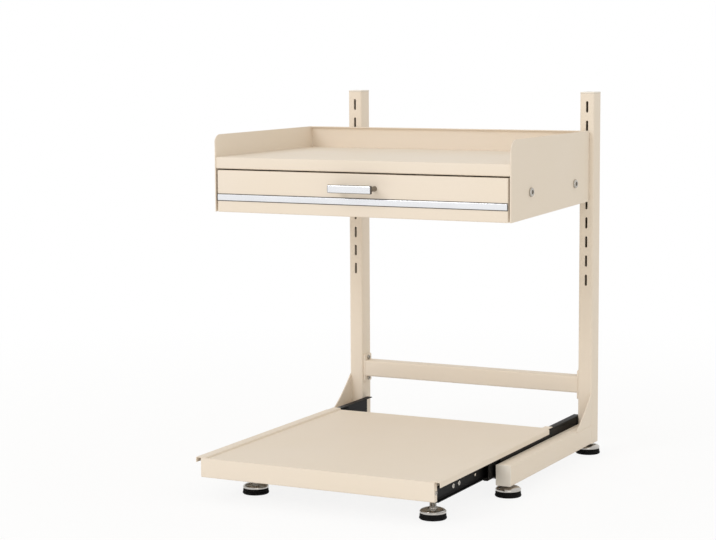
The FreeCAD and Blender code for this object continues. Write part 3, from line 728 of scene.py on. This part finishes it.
def makeGussetWeld(node, right):
    # two beads on the plate's inner side, along the rail and up the upright
    values = gussetValues
    low, high = boxOf(node)
    bead, tip, corner = values["weld"], values["weldFromTip"], values["weldFromCorner"]
    sunk = bead * weldValues["sunk"]
    x = low[0] + sunk if right else high[0] - sunk
    beads = [weldBead((x, low[1] + tip, low[2]), (x, high[1] - corner, low[2]), bead),
             weldBead((x, high[1], low[2] + corner), (x, high[1], high[2] - tip), bead)]
    addPiece(node, "weld", beads, smooth=weldValues["smooth"], stands=False)


for side in ("left", "right"):
    makeGusset("gusset_" + side)
    makeGussetWeld("gusset_" + side, side == "right")
print("gussets and their welds made")


headValues = {
    "crown": 1.45,
    "power": 2.2,
    "rim": 0.12,
    "shank": 0.4,
    "mouth": 1.12,
    "mouthDeep": 0.25 * mm,
    "floor": 0.35,
    "cone": 0.4 * mm,
    "rows": 9,
    "smooth": 40,
}


def buttonHead(middle, axis, way, wide, tall, socket, shank, count):
    # A domed head: crown + (half - crown) * sqrt(1 - share^power) over its height, with a
    # hexagon sunk in its crown. The hexagon is the socket's radius times cos(30 degrees) over
    # cos(angle within its sixth).
    values = headValues
    half = wide / 2
    share = np.linspace(0, 1, values["rows"])
    crown = socket * values["crown"]
    radii = crown + (half - crown) * np.sqrt(np.maximum(0, 1 - share ** values["power"]))
    dome = zip(radii, tall * (values["rim"] + (1 - values["rim"]) * share))
    neck, floor = half * values["shank"], tall * values["floor"]
    profile = [(0, -shank), (neck, -shank), (neck, 0), (half, 0), *dome,
               (socket * values["mouth"], tall), (socket, tall - values["mouthDeep"]),
               (socket, floor), (0, floor - values["cone"])]

    def sixSided(angle, radius, height):
        inner = (radius < socket + hair) & (height > 0)
        sixth = math.pi / 3
        shape = math.cos(sixth / 2) / np.cos(angle % sixth - sixth / 2)
        return np.where(inner, radius * (shape - 1), 0)

    return turned(profile, middle, axis, way, count, sixSided)


def addHeads(node, name, spots, screw, **how):
    # the same head at each spot: its place, and the way along X that it looks
    heads = [buttonHead(place, 0, way, **screw) for place, way in spots]
    addPiece(node, name, heads, smooth=headValues["smooth"], **how)


barValues = {
    "sheet": 1.5 * mm,
    "bend": 1.4 * mm,
    "tall": 28.0 * mm,
    "edge": 0.25 * mm,
    "flange": 3.0 * mm,
    "flangeEdge": 0.5 * mm,
    "flangeCorner": 3.0 * mm,
    "weld": 1.3 * mm,
    "weldShort": 2.0 * mm,
    "boltApart": 37.0 * mm,
    "bolt": {"wide": 8.0 * mm, "tall": 3.0 * mm, "socket": 2.1 * mm, "shank": 1.0 * mm, "count": 48},
}


def makeCrossBar():
    # A tube between two flanges, a weld down both sides of each joint, and two bolts to a flange.
    values = barValues
    low, high = boxOf("cross_bar")
    middle = (low + high) / 2
    rise = values["tall"] / 2
    barLow = np.array([low[0] + values["flange"], low[1], middle[2] - rise])
    barHigh = np.array([high[0] - values["flange"], high[1], middle[2] + rise])
    ends = (barLow[0], barHigh[0])
    addSheet("cross_bar", "tube", values, closedTube(barLow, barHigh, 0), 0, ends)
    plates = [block((left, low[1], low[2]), (right, high[1], high[2]), values["flangeEdge"], 0,
                    values["flangeCorner"])
              for left, right in ((low[0], ends[0]), (ends[1], high[0]))]
    addPiece("cross_bar", "flanges", plates)
    bead = values["weld"]
    sunk = bead * weldValues["sunk"]
    bottom, top = barLow[2] + values["weldShort"], barHigh[2] - values["weldShort"]
    welds = [weldBead((x, y, bottom), (x, y, top), bead)
             for x in ends for y in (low[1] + sunk, high[1] - sunk)]
    addPiece("cross_bar", "weld", welds, smooth=weldValues["smooth"], stands=False)
    spots = [((x, middle[1], middle[2] + up * values["boltApart"] / 2), way)
             for x, way in zip(ends, (1, -1)) for up in (-1, 1)]
    addHeads("cross_bar_bolts", "heads", spots, values["bolt"])


makeCrossBar()
print("cross bar, flanges and bolts made")


housingValues = {
    "sheet": 1.5 * mm,
    "bend": 1.0 * mm,
    "bendSteps": 6,
    "fold": 2.5 * mm,
    "corner": 17.0 * mm,
    "cornerMarks": 15,
    "plainMark": 40.0 * mm,
    "rows": 9,
    "notch": 4.0 * mm,
    "rise": 8.0 * mm,
    "backGap": 1.3 * mm,
    "lip": 19.0 * mm,
    "lipFold": 8.0 * mm,
    "sideFold": 12.0 * mm,
    "sideTop": 0.98,
    "edge": 0.3 * mm,
    "foldEdge": 0.2 * mm,
    "screw": {"socket": 3.9 * mm, "shank": 2.0 * mm, "count": 72},
}


def makeSidePanel(node, right):
    # A flat sheet folded at the front. Between its ends it runs from bottom(y) = low + rise * y / deep
    # to top(y) = high less the front's quarter circle and the back's slanted notch.
    values = housingValues
    low, high = boxOf(node)
    high[1] -= values["backGap"]
    fold, notch, radius = values["fold"], values["notch"], values["corner"]
    if right:
        corners = [(high[0], high[1]), (high[0], low[1]), (high[0] - fold, low[1])]
    else:
        corners = [(low[0] + fold, low[1]), (low[0], low[1]), (low[0], high[1])]
    sheet, bend = values["sheet"], values["bend"]
    points, normals, lengths = bentLine(corners, sheet, bend, values["bendSteps"])
    deep = high[1] - low[1]
    arcMarks = radius * (1 - np.cos(np.linspace(0, math.pi / 2, values["cornerMarks"])))
    wanted = low[1] + np.append(arcMarks, [values["plainMark"], deep - notch, deep - notch / 2])
    order = slice(None, None, -1) if right else slice(None)
    runs, track = points[order, 1], lengths[order]
    first = np.argmax(runs > low[1] + bend + sheet + hair) - 1
    extra = np.interp(wanted[wanted > runs[first]], runs[first:], track[first:])
    flat, quads = flatPattern(marks(lengths, extra), np.linspace(0, 1, values["rows"]))
    outer, inner = twoSkins(flat, points, normals, lengths, sheet)
    back = outer[:, 1] - low[1]
    bottom = low[2] + values["rise"] * back / deep
    arc = radius - np.sqrt(np.maximum(0, radius ** 2 - np.maximum(0, radius - back) ** 2))
    slant = np.maximum(0, back - (deep - notch))
    z = bottom + flat[:, 1] * (high[2] - arc - slant - bottom)
    part = thickened(np.column_stack([outer, z]), np.column_stack([inner, z]), quads)
    addPiece(node, "sheet", [part], values["edge"])


def makePanelScrews(node, panel, right):
    # two domed screws, as far out of the panel as the node reaches
    low, high = boxOf(node)
    panelLow, panelHigh = boxOf(panel)
    face, way = (panelHigh[0], 1) if right else (panelLow[0], -1)
    wide = high[2] - low[2]
    screw = {**housingValues["screw"], "wide": wide, "tall": high[0] - face if right else face - low[0]}
    level = (low[2] + high[2]) / 2
    spots = [((face, y, level), way) for y in (low[1] + wide / 2, high[1] - wide / 2)]
    addHeads(node, "heads", spots, screw)


def makeShelf():
    # A sheet with a lip that is folded down and back, and a plain fold down each side.
    values = housingValues
    low, high = boxOf("shelf_top")
    sheet, under = values["sheet"], low[1] + values["lipFold"]
    foot = high[2] - values["lip"]
    corners = [(under, foot), (low[1], foot), (low[1], high[2]), (high[1], high[2])]
    bottom, top = high[2] - values["sideFold"], high[2] - sheet * values["sideTop"]
    folds = [block((x, under, bottom), (x + sheet, high[1], top), values["foldEdge"], 1)
             for x in (low[0], high[0] - sheet)]
    addSheet("shelf_top", "sheet", values, corners, 0, [low[0], high[0]], more=folds)


def makeBackPanel():
    # an upright sheet whose top edge is folded to the front
    low, high = boxOf("back_panel")
    corners = [(low[1], high[2]), (high[1], high[2]), (high[1], low[2])]
    addSheet("back_panel", "sheet", housingValues, corners, 0, [low[0], high[0]])


for side in ("left", "right"):
    makeSidePanel("side_panel_" + side, side == "right")
    makePanelScrews("panel_screws_" + side, "side_panel_" + side, side == "right")
makeShelf()
makeBackPanel()
print("shelf housing made")


drawerValues = {
    "sheet": 1.2 * mm,
    "bend": 0.8 * mm,
    "boxCorner": 2.0 * mm,
    "frontCorner": 1.4 * mm,
    "topGap": 1.0 * mm,
}


def makeDrawer():
    # Two folded pans: the box is open above, and the front is open behind.
    values = drawerValues
    sheet, bend = values["sheet"], values["bend"]
    low, high = boxOf("drawer_box")
    addPiece("drawer_box", "pan", [pan(low, high, sheet, bend, 2, values["boxCorner"])])
    low, high = boxOf("drawer_front")
    high[2] -= values["topGap"]
    addPiece("drawer_front", "pan", [pan(low, high, sheet, bend, 1, values["frontCorner"])])


# the rows of a plate are (inset, rise, scale), the first two in millimetres
trimValues = {
    "corner": 0.5 * mm,
    "smooth": 24,
    "seat": [(0, 0, 0), (0, 0, 1), (0, 0.5, 1), (0.2, 0.7, 1), (2.0, 0.7, 1), (2.0, 0.7, 0)],
    "band": [(1.15, 0.2, 0), (1.15, 0.2, 1), (1.15, 0.9, 1), (1.3, 1.15, 1), (1.6, 1.3, 1),
             (2.2, 1.42, 1), (3.6, 1.49, 1), (5.2, 1.5, 1), (5.2, 1.5, 0)],
}


def frontPlate(low, high, inset, corner, rows, base):
    # A flat rounded rectangle that rises to the front from y = base, row by row.
    size = high - low
    middle = (low + high) / 2
    middle[1] = base
    profile = np.array(rows) * [mm, mm, 1]
    return around(size[2] / 2 - inset, size[0] / 2 - inset, corner, profile, facing(1, middle, -1))


def makeTrim():
    # a bright domed band on a seat in painted shade, which shows as dark lines above and below it
    values = trimValues
    low, high = boxOf("trim_strip")
    for name, finish in (("seat", "trim_painted_shade"), ("band", None)):
        part = frontPlate(low, high, 0, values["corner"], values[name], high[1])
        addPiece("trim_strip", name, [part], smooth=values["smooth"], finish=finish)


handleValues = {
    "round": 2.4 * mm,
    "roundSteps": 8,
    "end": 0.9 * mm,
    "setBack": 0.3 * mm,
    "faceInset": 0.9 * mm,
    "faceDeep": 0.9 * mm,
    "faceCorner": 1.0 * mm,
    "face": [(0, 0, 0), (0, 0, 1), (0, 0.5, 1), (0.15, 0.75, 1), (0.5, 0.9, 1), (1.5, 0.9, 1),
             (1.5, 0.9, 0)],
    "waist": 4.0 * mm,
    "postRows": 13,
}


def makeHandle():
    # A rounded bar with a bright plate on its face; the bar is in painted shade, so its rounded edges
    # look dark.
    values = handleValues
    low, high = boxOf("handle_bar")
    barLow = low + [0, values["setBack"], 0]
    bar = block(barLow, high, values["end"], 0, values["round"], values["roundSteps"])
    addPiece("handle_bar", "bar", [bar], finish="trim_painted_shade")
    base = low[1] + values["faceDeep"]
    face = frontPlate(low, high, values["faceInset"], values["faceCorner"], values["face"], base)
    addPiece("handle_bar", "face", [face])


def makePosts():
    # Two waisted posts: waist + (half - waist) * |2 share - 1|^3 over their length.
    values = handleValues
    low, high = boxOf("handle_posts")
    half = (high[2] - low[2]) / 2
    share = np.linspace(0, 1, values["postRows"])
    sides = values["waist"] + (half - values["waist"]) * np.abs(2 * share - 1) ** 3
    long = high[1] - low[1]
    profile = [(0, 0), *zip(sides, share * long), (0, long)]
    level = (low[2] + high[2]) / 2
    posts = [turned(profile, (x, low[1], level), 1) for x in (low[0] + half, high[0] - half)]
    addPiece("handle_posts", "posts", posts, finish="screw_dark")


makeDrawer()
makeTrim()
makeHandle()
makePosts()
print("drawer, strip and handle made")


trayValues = {
    "sheet": 1.2 * mm,
    "bend": 0.8 * mm,
    "step": 3.0 * mm,
    "ridge": 17.0 * mm,
    "tail": 22.0 * mm,
    "tailInset": 3.2 * mm,
    "edge": 0.2 * mm,
    "boltUp": 13.0 * mm,
    "boltBack": 0.8 * mm,
    "bolt": {"wide": 6.4 * mm, "tall": 1.3 * mm, "socket": 1.5 * mm, "shank": 0.4 * mm, "count": 36},
}


def makeDeck():
    # The deck is one section along Y: lip, raised side, sunken middle, raised side, lip. Its tail
    # has the same section between narrower sides, without the lips, and ends in a hem.
    values = trayValues
    sheet = values["sheet"]
    low, high = boxOf("tray_deck")
    top, floor = high[2], high[2] - values["step"]
    left, right = low[0] + values["ridge"], high[0] - values["ridge"]
    neck = high[1] - values["tail"]
    middle = [(left, top), (left, floor), (right, floor), (right, top)]
    corners = [(low[0] + values["tailInset"], top), *middle, (high[0] - values["tailInset"], top)]
    tail = bentSheet(values, corners, 1, [neck, high[1]])
    hem = block((left + sheet, high[1] - sheet, low[2]), (right - sheet, high[1], floor - sheet / 2),
                values["edge"], 1)
    corners = [(low[0], low[2]), (low[0], top), *middle, (high[0], top), (high[0], low[2])]
    addSheet("tray_deck", "sheet", values, corners, 1, [low[1], neck], more=[tail, hem])


def makeTrayFront():
    # A face folded back at its foot, a return at each end, and a bolt in each return.
    values = trayValues
    sheet, edge = values["sheet"], values["edge"]
    low, high = boxOf("tray_front")
    corners = [(high[1], low[2]), (low[1], low[2]), (low[1], high[2])]
    returns = [block((x, low[1] + sheet, low[2] + sheet), (x + sheet, high[1], high[2]), edge, 0)
               for x in (low[0], high[0] - sheet)]
    addSheet("tray_front", "pan", values, corners, 0, [low[0], high[0]], more=returns)
    y, z = (low[1] + high[1]) / 2 + values["boltBack"], low[2] + values["boltUp"]
    spots = [((low[0], y, z), -1), ((high[0], y, z), 1)]
    addHeads("tray_front", "bolts", spots, values["bolt"], slot="bright_screws", stands=False)


def makeTrayChannel(node):
    # a channel along Y that is open below
    low, high = boxOf(node)
    corners = [(low[0], low[2]), (low[0], high[2]), (high[0], high[2]), (high[0], low[2])]
    addSheet(node, "channel", trayValues, corners, 1, [low[1], high[1]])


makeDeck()
makeTrayFront()
for side in ("left", "right"):
    makeTrayChannel("tray_channel_" + side)
print("tray, its front and channels made")


slideValues = {
    "sheet": 1.2 * mm,
    "bend": 0.9 * mm,
    "edge": 0.0,
    "hole": {"wide": 4.4 * mm, "long": 8.4 * mm, "cellWide": 6.0 * mm, "cellLong": 8.0 * mm,
             "marksWide": 7, "marksLong": 7},
    "first": 148.0 * mm,
    "pitch": 62.0 * mm,
    "screwsAt": [65.0 * mm, 86.0 * mm, 262.0 * mm],
    "screw": {"wide": 8.0 * mm, "tall": 1.4 * mm, "socket": 1.3 * mm, "shank": 0.8 * mm, "count": 24},
    "ball": 1.35 * mm,
    "ballRows": 9,
    "ballSpokes": 16,
    "ballPitch": 7.0 * mm,
    "cageLong": 60.0 * mm,
    "cageSheet": 0.6 * mm,
    "cageWide": 5.0 * mm,
    "cageEdge": 0.15 * mm,
    "outerRow": 17.15 * mm,
    "innerRow": 12.65 * mm,
    "innerShift": 40.0 * mm,
    "smooth": 50,
}


def makeSlideChannel(node, webHigh, pierced):
    # A channel along Y: web upright, flanges level, with long holes down the middle of the web.
    values = slideValues
    low, high = boxOf(node)
    near, far = (low[0], high[0]) if webHigh else (high[0], low[0])
    start, stop = (high[2], low[2]) if webHigh else (low[2], high[2])
    corners = [(near, start), (far, start), (far, stop), (near, stop)]
    spots = []
    if pierced:
        ends = low[1] + values["first"], high[1] - values["first"]
        spots = np.arange(ends[0], ends[1] + hair, values["pitch"])
    holes = holeRow(low[1], high[1], spots, values["hole"])
    addSheet(node, "channel", values, corners, 1, *holes)


def makeSlideScrews(node, right):
    # the screws that hold the inner channel, with their heads on its web
    values = slideValues
    low, high = boxOf(node)
    web, way = (low[0] + values["sheet"], 1) if right else (high[0] - values["sheet"], -1)
    level = (low[2] + high[2]) / 2
    spots = [((web, low[1] + at, level), way) for at in values["screwsAt"]]
    addHeads(node, "screws", spots, values["screw"], slot="bright_screws", stands=False)


def makeBalls(node, level):
    # Four flat cages with their balls: two outside the intermediate member, two inside it.
    values = slideValues
    low, high = boxOf(node)
    x = (low[0] + high[0]) / 2
    half, rise = values["cageWide"] / 2, values["cageSheet"] / 2
    arc = np.linspace(-math.pi / 2, math.pi / 2, values["ballRows"])
    ball = np.column_stack([np.cos(arc), np.sin(arc)]) * values["ball"]
    rows = ((values["outerRow"], low[1]), (values["innerRow"], low[1] + values["innerShift"]))
    parts = []
    for apart, start in rows:
        for z in (level - apart, level + apart):
            stop = start + values["cageLong"]
            parts.append(block((x - half, start, z - rise), (x + half, stop, z + rise),
                               values["cageEdge"], 2))
            spots = np.arange(values["ballPitch"] / 2, values["cageLong"], values["ballPitch"])
            parts += [turned(ball, (x, start + y, z), 2, 1, values["ballSpokes"]) for y in spots]
    addPiece(node, "balls", parts, smooth=values["smooth"])


for kind in ("tray", "drawer"):
    for side in ("left", "right"):
        right = side == "right"
        name = kind + "_slide_{}_" + side
        makeSlideChannel(name.format("outer"), right, True)
        makeSlideChannel(name.format("mid"), right, False)
        makeSlideChannel(name.format("inner"), not right, True)
        makeSlideScrews(name.format("inner"), right)
        low, high = boxOf(name.format("outer"))
        makeBalls(name.format("balls"), (low[2] + high[2]) / 2)
print("slides, balls and their screws made")


# Rows are (inset from the rim, height) in millimetres; a shoulder's heights count down from the top.
padValues = {
    "ribs": 36,
    "ribDeep": 0.5 * mm,
    "ribSpokes": 6,
    "ribFrom": 3.5 * mm,
    "ribTo": 1.5 * mm,
    "ribInset": 0.9,
    "sole": [(2.2, 0), (1.0, 0.25), (0.25, 1.0), (0, 1.6), (0.2, 3.2), (0.8, 4.2)],
    "shoulder": [(0.8, 2.2), (1.2, 1.0), (2.2, 0.25), (3.6, 0)],
    "smooth": 40,
}


def footprint(node):
    # a round node's radius, its height and the middle of its underside
    half, _, tall, middle = standing(*boxOf(node), 2)
    return half, tall, middle


def makePad(node):
    # A rubber shoe: sole, ribbed side wall and a rounded shoulder under the dome.
    values = padValues
    half, tall, middle = footprint(node)
    sole = [(half - inset * mm, rise * mm) for inset, rise in values["sole"]]
    shoulder = [(half - inset * mm, tall - fall * mm) for inset, fall in values["shoulder"]]
    profile = [(0, 0), *sole, *shoulder, (0, tall)]

    def ribbed(angle, radius, height):
        onWall = (height > values["ribFrom"]) & (height < tall - values["ribTo"])
        onWall &= radius > half * values["ribInset"]
        return np.where(onWall, -values["ribDeep"] * (np.sin(angle * values["ribs"]) > 0), 0)

    spokes = values["ribs"] * values["ribSpokes"]
    addPiece(node, "shoe", [turned(profile, middle, 2, 1, spokes, ribbed)], smooth=values["smooth"])


stemValues = {
    "rim": [(0.5, 0), (0, 0.5), (0, 2.5), (0.2, 3.1)],
    "rimTall": 3.4 * mm,
    "dishInset": 0.7 * mm,
    "dishPower": 1.6,
    "dishRows": 17,
    "neck": 7.2 * mm,
    "neckTop": 8.4 * mm,
    "neckTall": 1.0 * mm,
    "chamfer": 0.3 * mm,
    "stem": 5.2 * mm,
    "pitch": 1.25 * mm,
    "rowsPerPitch": 6,
    "threadDeep": 0.45 * mm,
    "threadFade": 1.2 * mm,
    "threadEnd": 0.4 * mm,
    "plainEnd": 0.6 * mm,
    "spokes": 48,
    "smooth": 35,
}


def makeStem(node):
    # A chrome dome, a collar and a threaded stem. The dome's radius is neck + (rim - neck) *
    # sqrt(1 - u^power), and the stem's is its core plus the depth times a triangle wave of
    # height / pitch - angle / 2 pi.
    values = stemValues
    half, tall, middle = footprint(node)
    neck, rim, start, chamfer = [values[key] for key in ("neck", "rimTall", "neckTop", "chamfer")]
    share = np.linspace(0, 1, values["dishRows"])
    rise = start - values["neckTall"] - rim
    across = half - values["dishInset"] - neck
    dish = zip(neck + across * np.sqrt(1 - share ** values["dishPower"]), rim + share * rise)
    core = values["stem"] - values["threadDeep"]
    rows = np.arange(start, tall - values["plainEnd"], values["pitch"] / values["rowsPerPitch"])
    profile = [(0, 0), *[(half - inset * mm, height * mm) for inset, height in values["rim"]], *dish,
               (neck, start - chamfer), (neck - chamfer, start), *[(core, z) for z in rows],
               (core - chamfer, tall), (0, tall)]

    def threaded(angle, radius, height):
        wave = (height / values["pitch"] - angle / (2 * math.pi)) % 1
        ends = (height - start, tall - values["threadEnd"] - height)
        fade = np.prod([np.clip(way / values["threadFade"], 0, 1) for way in ends], axis=0)
        onStem = (np.abs(radius - core) < hair) & (height > start - hair)
        return np.where(onStem, values["threadDeep"] * (1 - np.abs(2 * wave - 1)) * fade, 0)

    part = turned(profile, middle, 2, 1, values["spokes"], threaded)
    addPiece(node, "stem", [part], smooth=values["smooth"])


for name in sorted(frame["nodes"]):
    if name.startswith("foot_pad_"):
        makePad(name)
    elif name.startswith("foot_stem_"):
        makeStem(name)
print("levelling feet made")


bareValues = {
    "nodes": ["base_foot_inserts", "tray_foot_inserts", "hook_bracket_left", "hook_bracket_right"],
    "merge": 0.01 * mm,
    "edge": 0.25 * mm,
}

for name, thing in sorted(frame["nodes"].items()):
    thing.data.materials.clear()
    thing.data.materials.append(finishes[slotOf[name]])
for name in bareValues["nodes"]:
    weld = frame["nodes"][name].modifiers.new("weld", "WELD")
    weld.merge_threshold = bareValues["merge"]
    softened(frame["nodes"][name], bareValues["edge"])
print("finishes put on the nodes that stay")


cameraValues = {
    "place": (1.3781, -2.7963, 0.6940),
    "turn": 26.90,
    "down": 6.67,
    "tilt": 0.33,
    "lens": 98.4,
    "sensor": 36.0,
    "reach": 50.0,
}


def makeCamera():
    # The angles are degrees: turned to the left, tipped down from level, and rolled.
    values = cameraValues
    lens = bpy.data.cameras.new("view")
    lens.lens = values["lens"]
    lens.sensor_width = values["sensor"]
    lens.sensor_fit = "HORIZONTAL"
    lens.clip_end = values["reach"]
    camera = bpy.data.objects.new("view", lens)
    camera.location = values["place"]
    angles = (90 - values["down"], values["tilt"], values["turn"])
    camera.rotation_euler = [math.radians(angle) for angle in angles]
    bpy.context.scene.collection.objects.link(camera)
    bpy.context.scene.camera = camera


roomValues = {
    "floor": (0.97, 0.96, 0.95, 1.0),
    "floorSize": 40.0,
    "floorUnder": 0.1 * mm,
    "floorRough": 0.9,
    "floorSpecular": 0.1,
    "glowNear": 0.87,
    "glowFrom": 0.5,
    "glowTo": 1.7,
    "world": (1.0, 0.978, 0.92, 1.0),
    "worldShine": 0.76,
    "white": (1.0, 1.0, 1.0, 1.0),
    "lamps": [
        {"name": "key", "place": (-2.7, -6.1, 4.2), "aim": (0, 0, 0.3), "size": 3.2, "watts": 130,
         "colour": (1.0, 0.98, 1.0)},
        {"name": "fill", "place": (2.2, -3.0, 1.0), "aim": (0, 0, 0.3), "size": 2.4, "watts": 9,
         "colour": (1.0, 0.95, 0.86)},
    ],
}


def seenStraight(wire):
    # 1 where the ray comes from the camera, a mirror or glass
    kinds = ("Is Camera Ray", "Is Glossy Ray", "Is Transmission Ray")
    first, second, third = [wire.add("LightPath", out=name) for name in kinds]
    return wire.math("MINIMUM", first + second + third, 1.0)


def makeFloor():
    # A wide plane whose surface mixes white paint, which takes the shadow, with its own glow. The
    # glow's share rises with the distance from the middle, so that the far floor has no edge. From
    # below the plane is clear.
    values = roomValues
    half = values["floorSize"] / 2
    corners = ((-half, -half), (half, -half), (half, half), (-half, half))
    points = [(x, y, -values["floorUnder"]) for x, y in corners]
    mesh = bpy.data.meshes.new("floor")
    mesh.from_pydata(points, [], [[0, 1, 2, 3]])
    floor = bpy.data.objects.new("floor", mesh)
    bpy.context.scene.collection.objects.link(floor)
    material, wire, shader, place = newFinish("floorPaint")
    fillSockets(shader, {"Base Color": values["floor"], "Roughness": values["floorRough"],
                         "Specular IOR Level": values["floorSpecular"]})
    glow = wire.add("Emission", {}, {"Color": values["white"], "Strength": 1.0})
    distance = wire.add("VectorMath", {"operation": "LENGTH"}, {0: place}, 1)
    rise = wire.add("MapRange", {}, {"Value": distance, "From Min": values["glowFrom"],
                                     "From Max": values["glowTo"], "To Min": values["glowNear"],
                                     "To Max": 1.0})
    paint = Wire(wire.tree, shader.outputs[0])
    above = wire.add("MixShader", {}, {0: seenStraight(wire) * rise, 1: paint, 2: glow})
    below = wire.add("NewGeometry", out="Backfacing")
    shown = wire.add("MixShader", {}, {0: below, 1: above, 2: wire.add("BsdfTransparent")})
    fillSockets(wire.tree.nodes["Material Output"], {"Surface": shown})
    mesh.materials.append(material)


def makeWorld():
    # A warm dim room for the light, and plain white where it is seen.
    values = roomValues
    world = bpy.data.worlds.new("room")
    bpy.context.scene.world = world
    world.use_nodes = True
    wire = Wire(world.node_tree)
    plain = wire.tree.nodes["Background"]
    fillSockets(plain, {"Color": values["world"], "Strength": values["worldShine"]})
    room = Wire(wire.tree, plain.outputs[0])
    white = wire.add("Background", {}, {"Color": values["white"], "Strength": 1.0})
    shown = wire.add("MixShader", {}, {0: seenStraight(wire), 1: room, 2: white})
    fillSockets(wire.tree.nodes["World Output"], {"Surface": shown})


def makeLamps():
    # Round area lamps, each turned so that it shines along its way to the aim.
    for values in roomValues["lamps"]:
        lamp = bpy.data.lights.new(values["name"], "AREA")
        lamp.shape = "DISK"
        lamp.size = values["size"]
        lamp.energy = values["watts"]
        lamp.color = values["colour"]
        holder = bpy.data.objects.new(values["name"], lamp)
        holder.location = values["place"]
        aim = np.array(values["aim"]) - values["place"]
        flat = math.hypot(aim[0], aim[1])
        holder.rotation_euler = (math.atan2(flat, -aim[2]), 0, math.atan2(-aim[0], aim[1]))
        bpy.context.scene.collection.objects.link(holder)


makeCamera()
makeFloor()
makeWorld()
makeLamps()
bpy.context.scene.view_settings.view_transform = "Standard"
print("camera, floor and lamps ready")
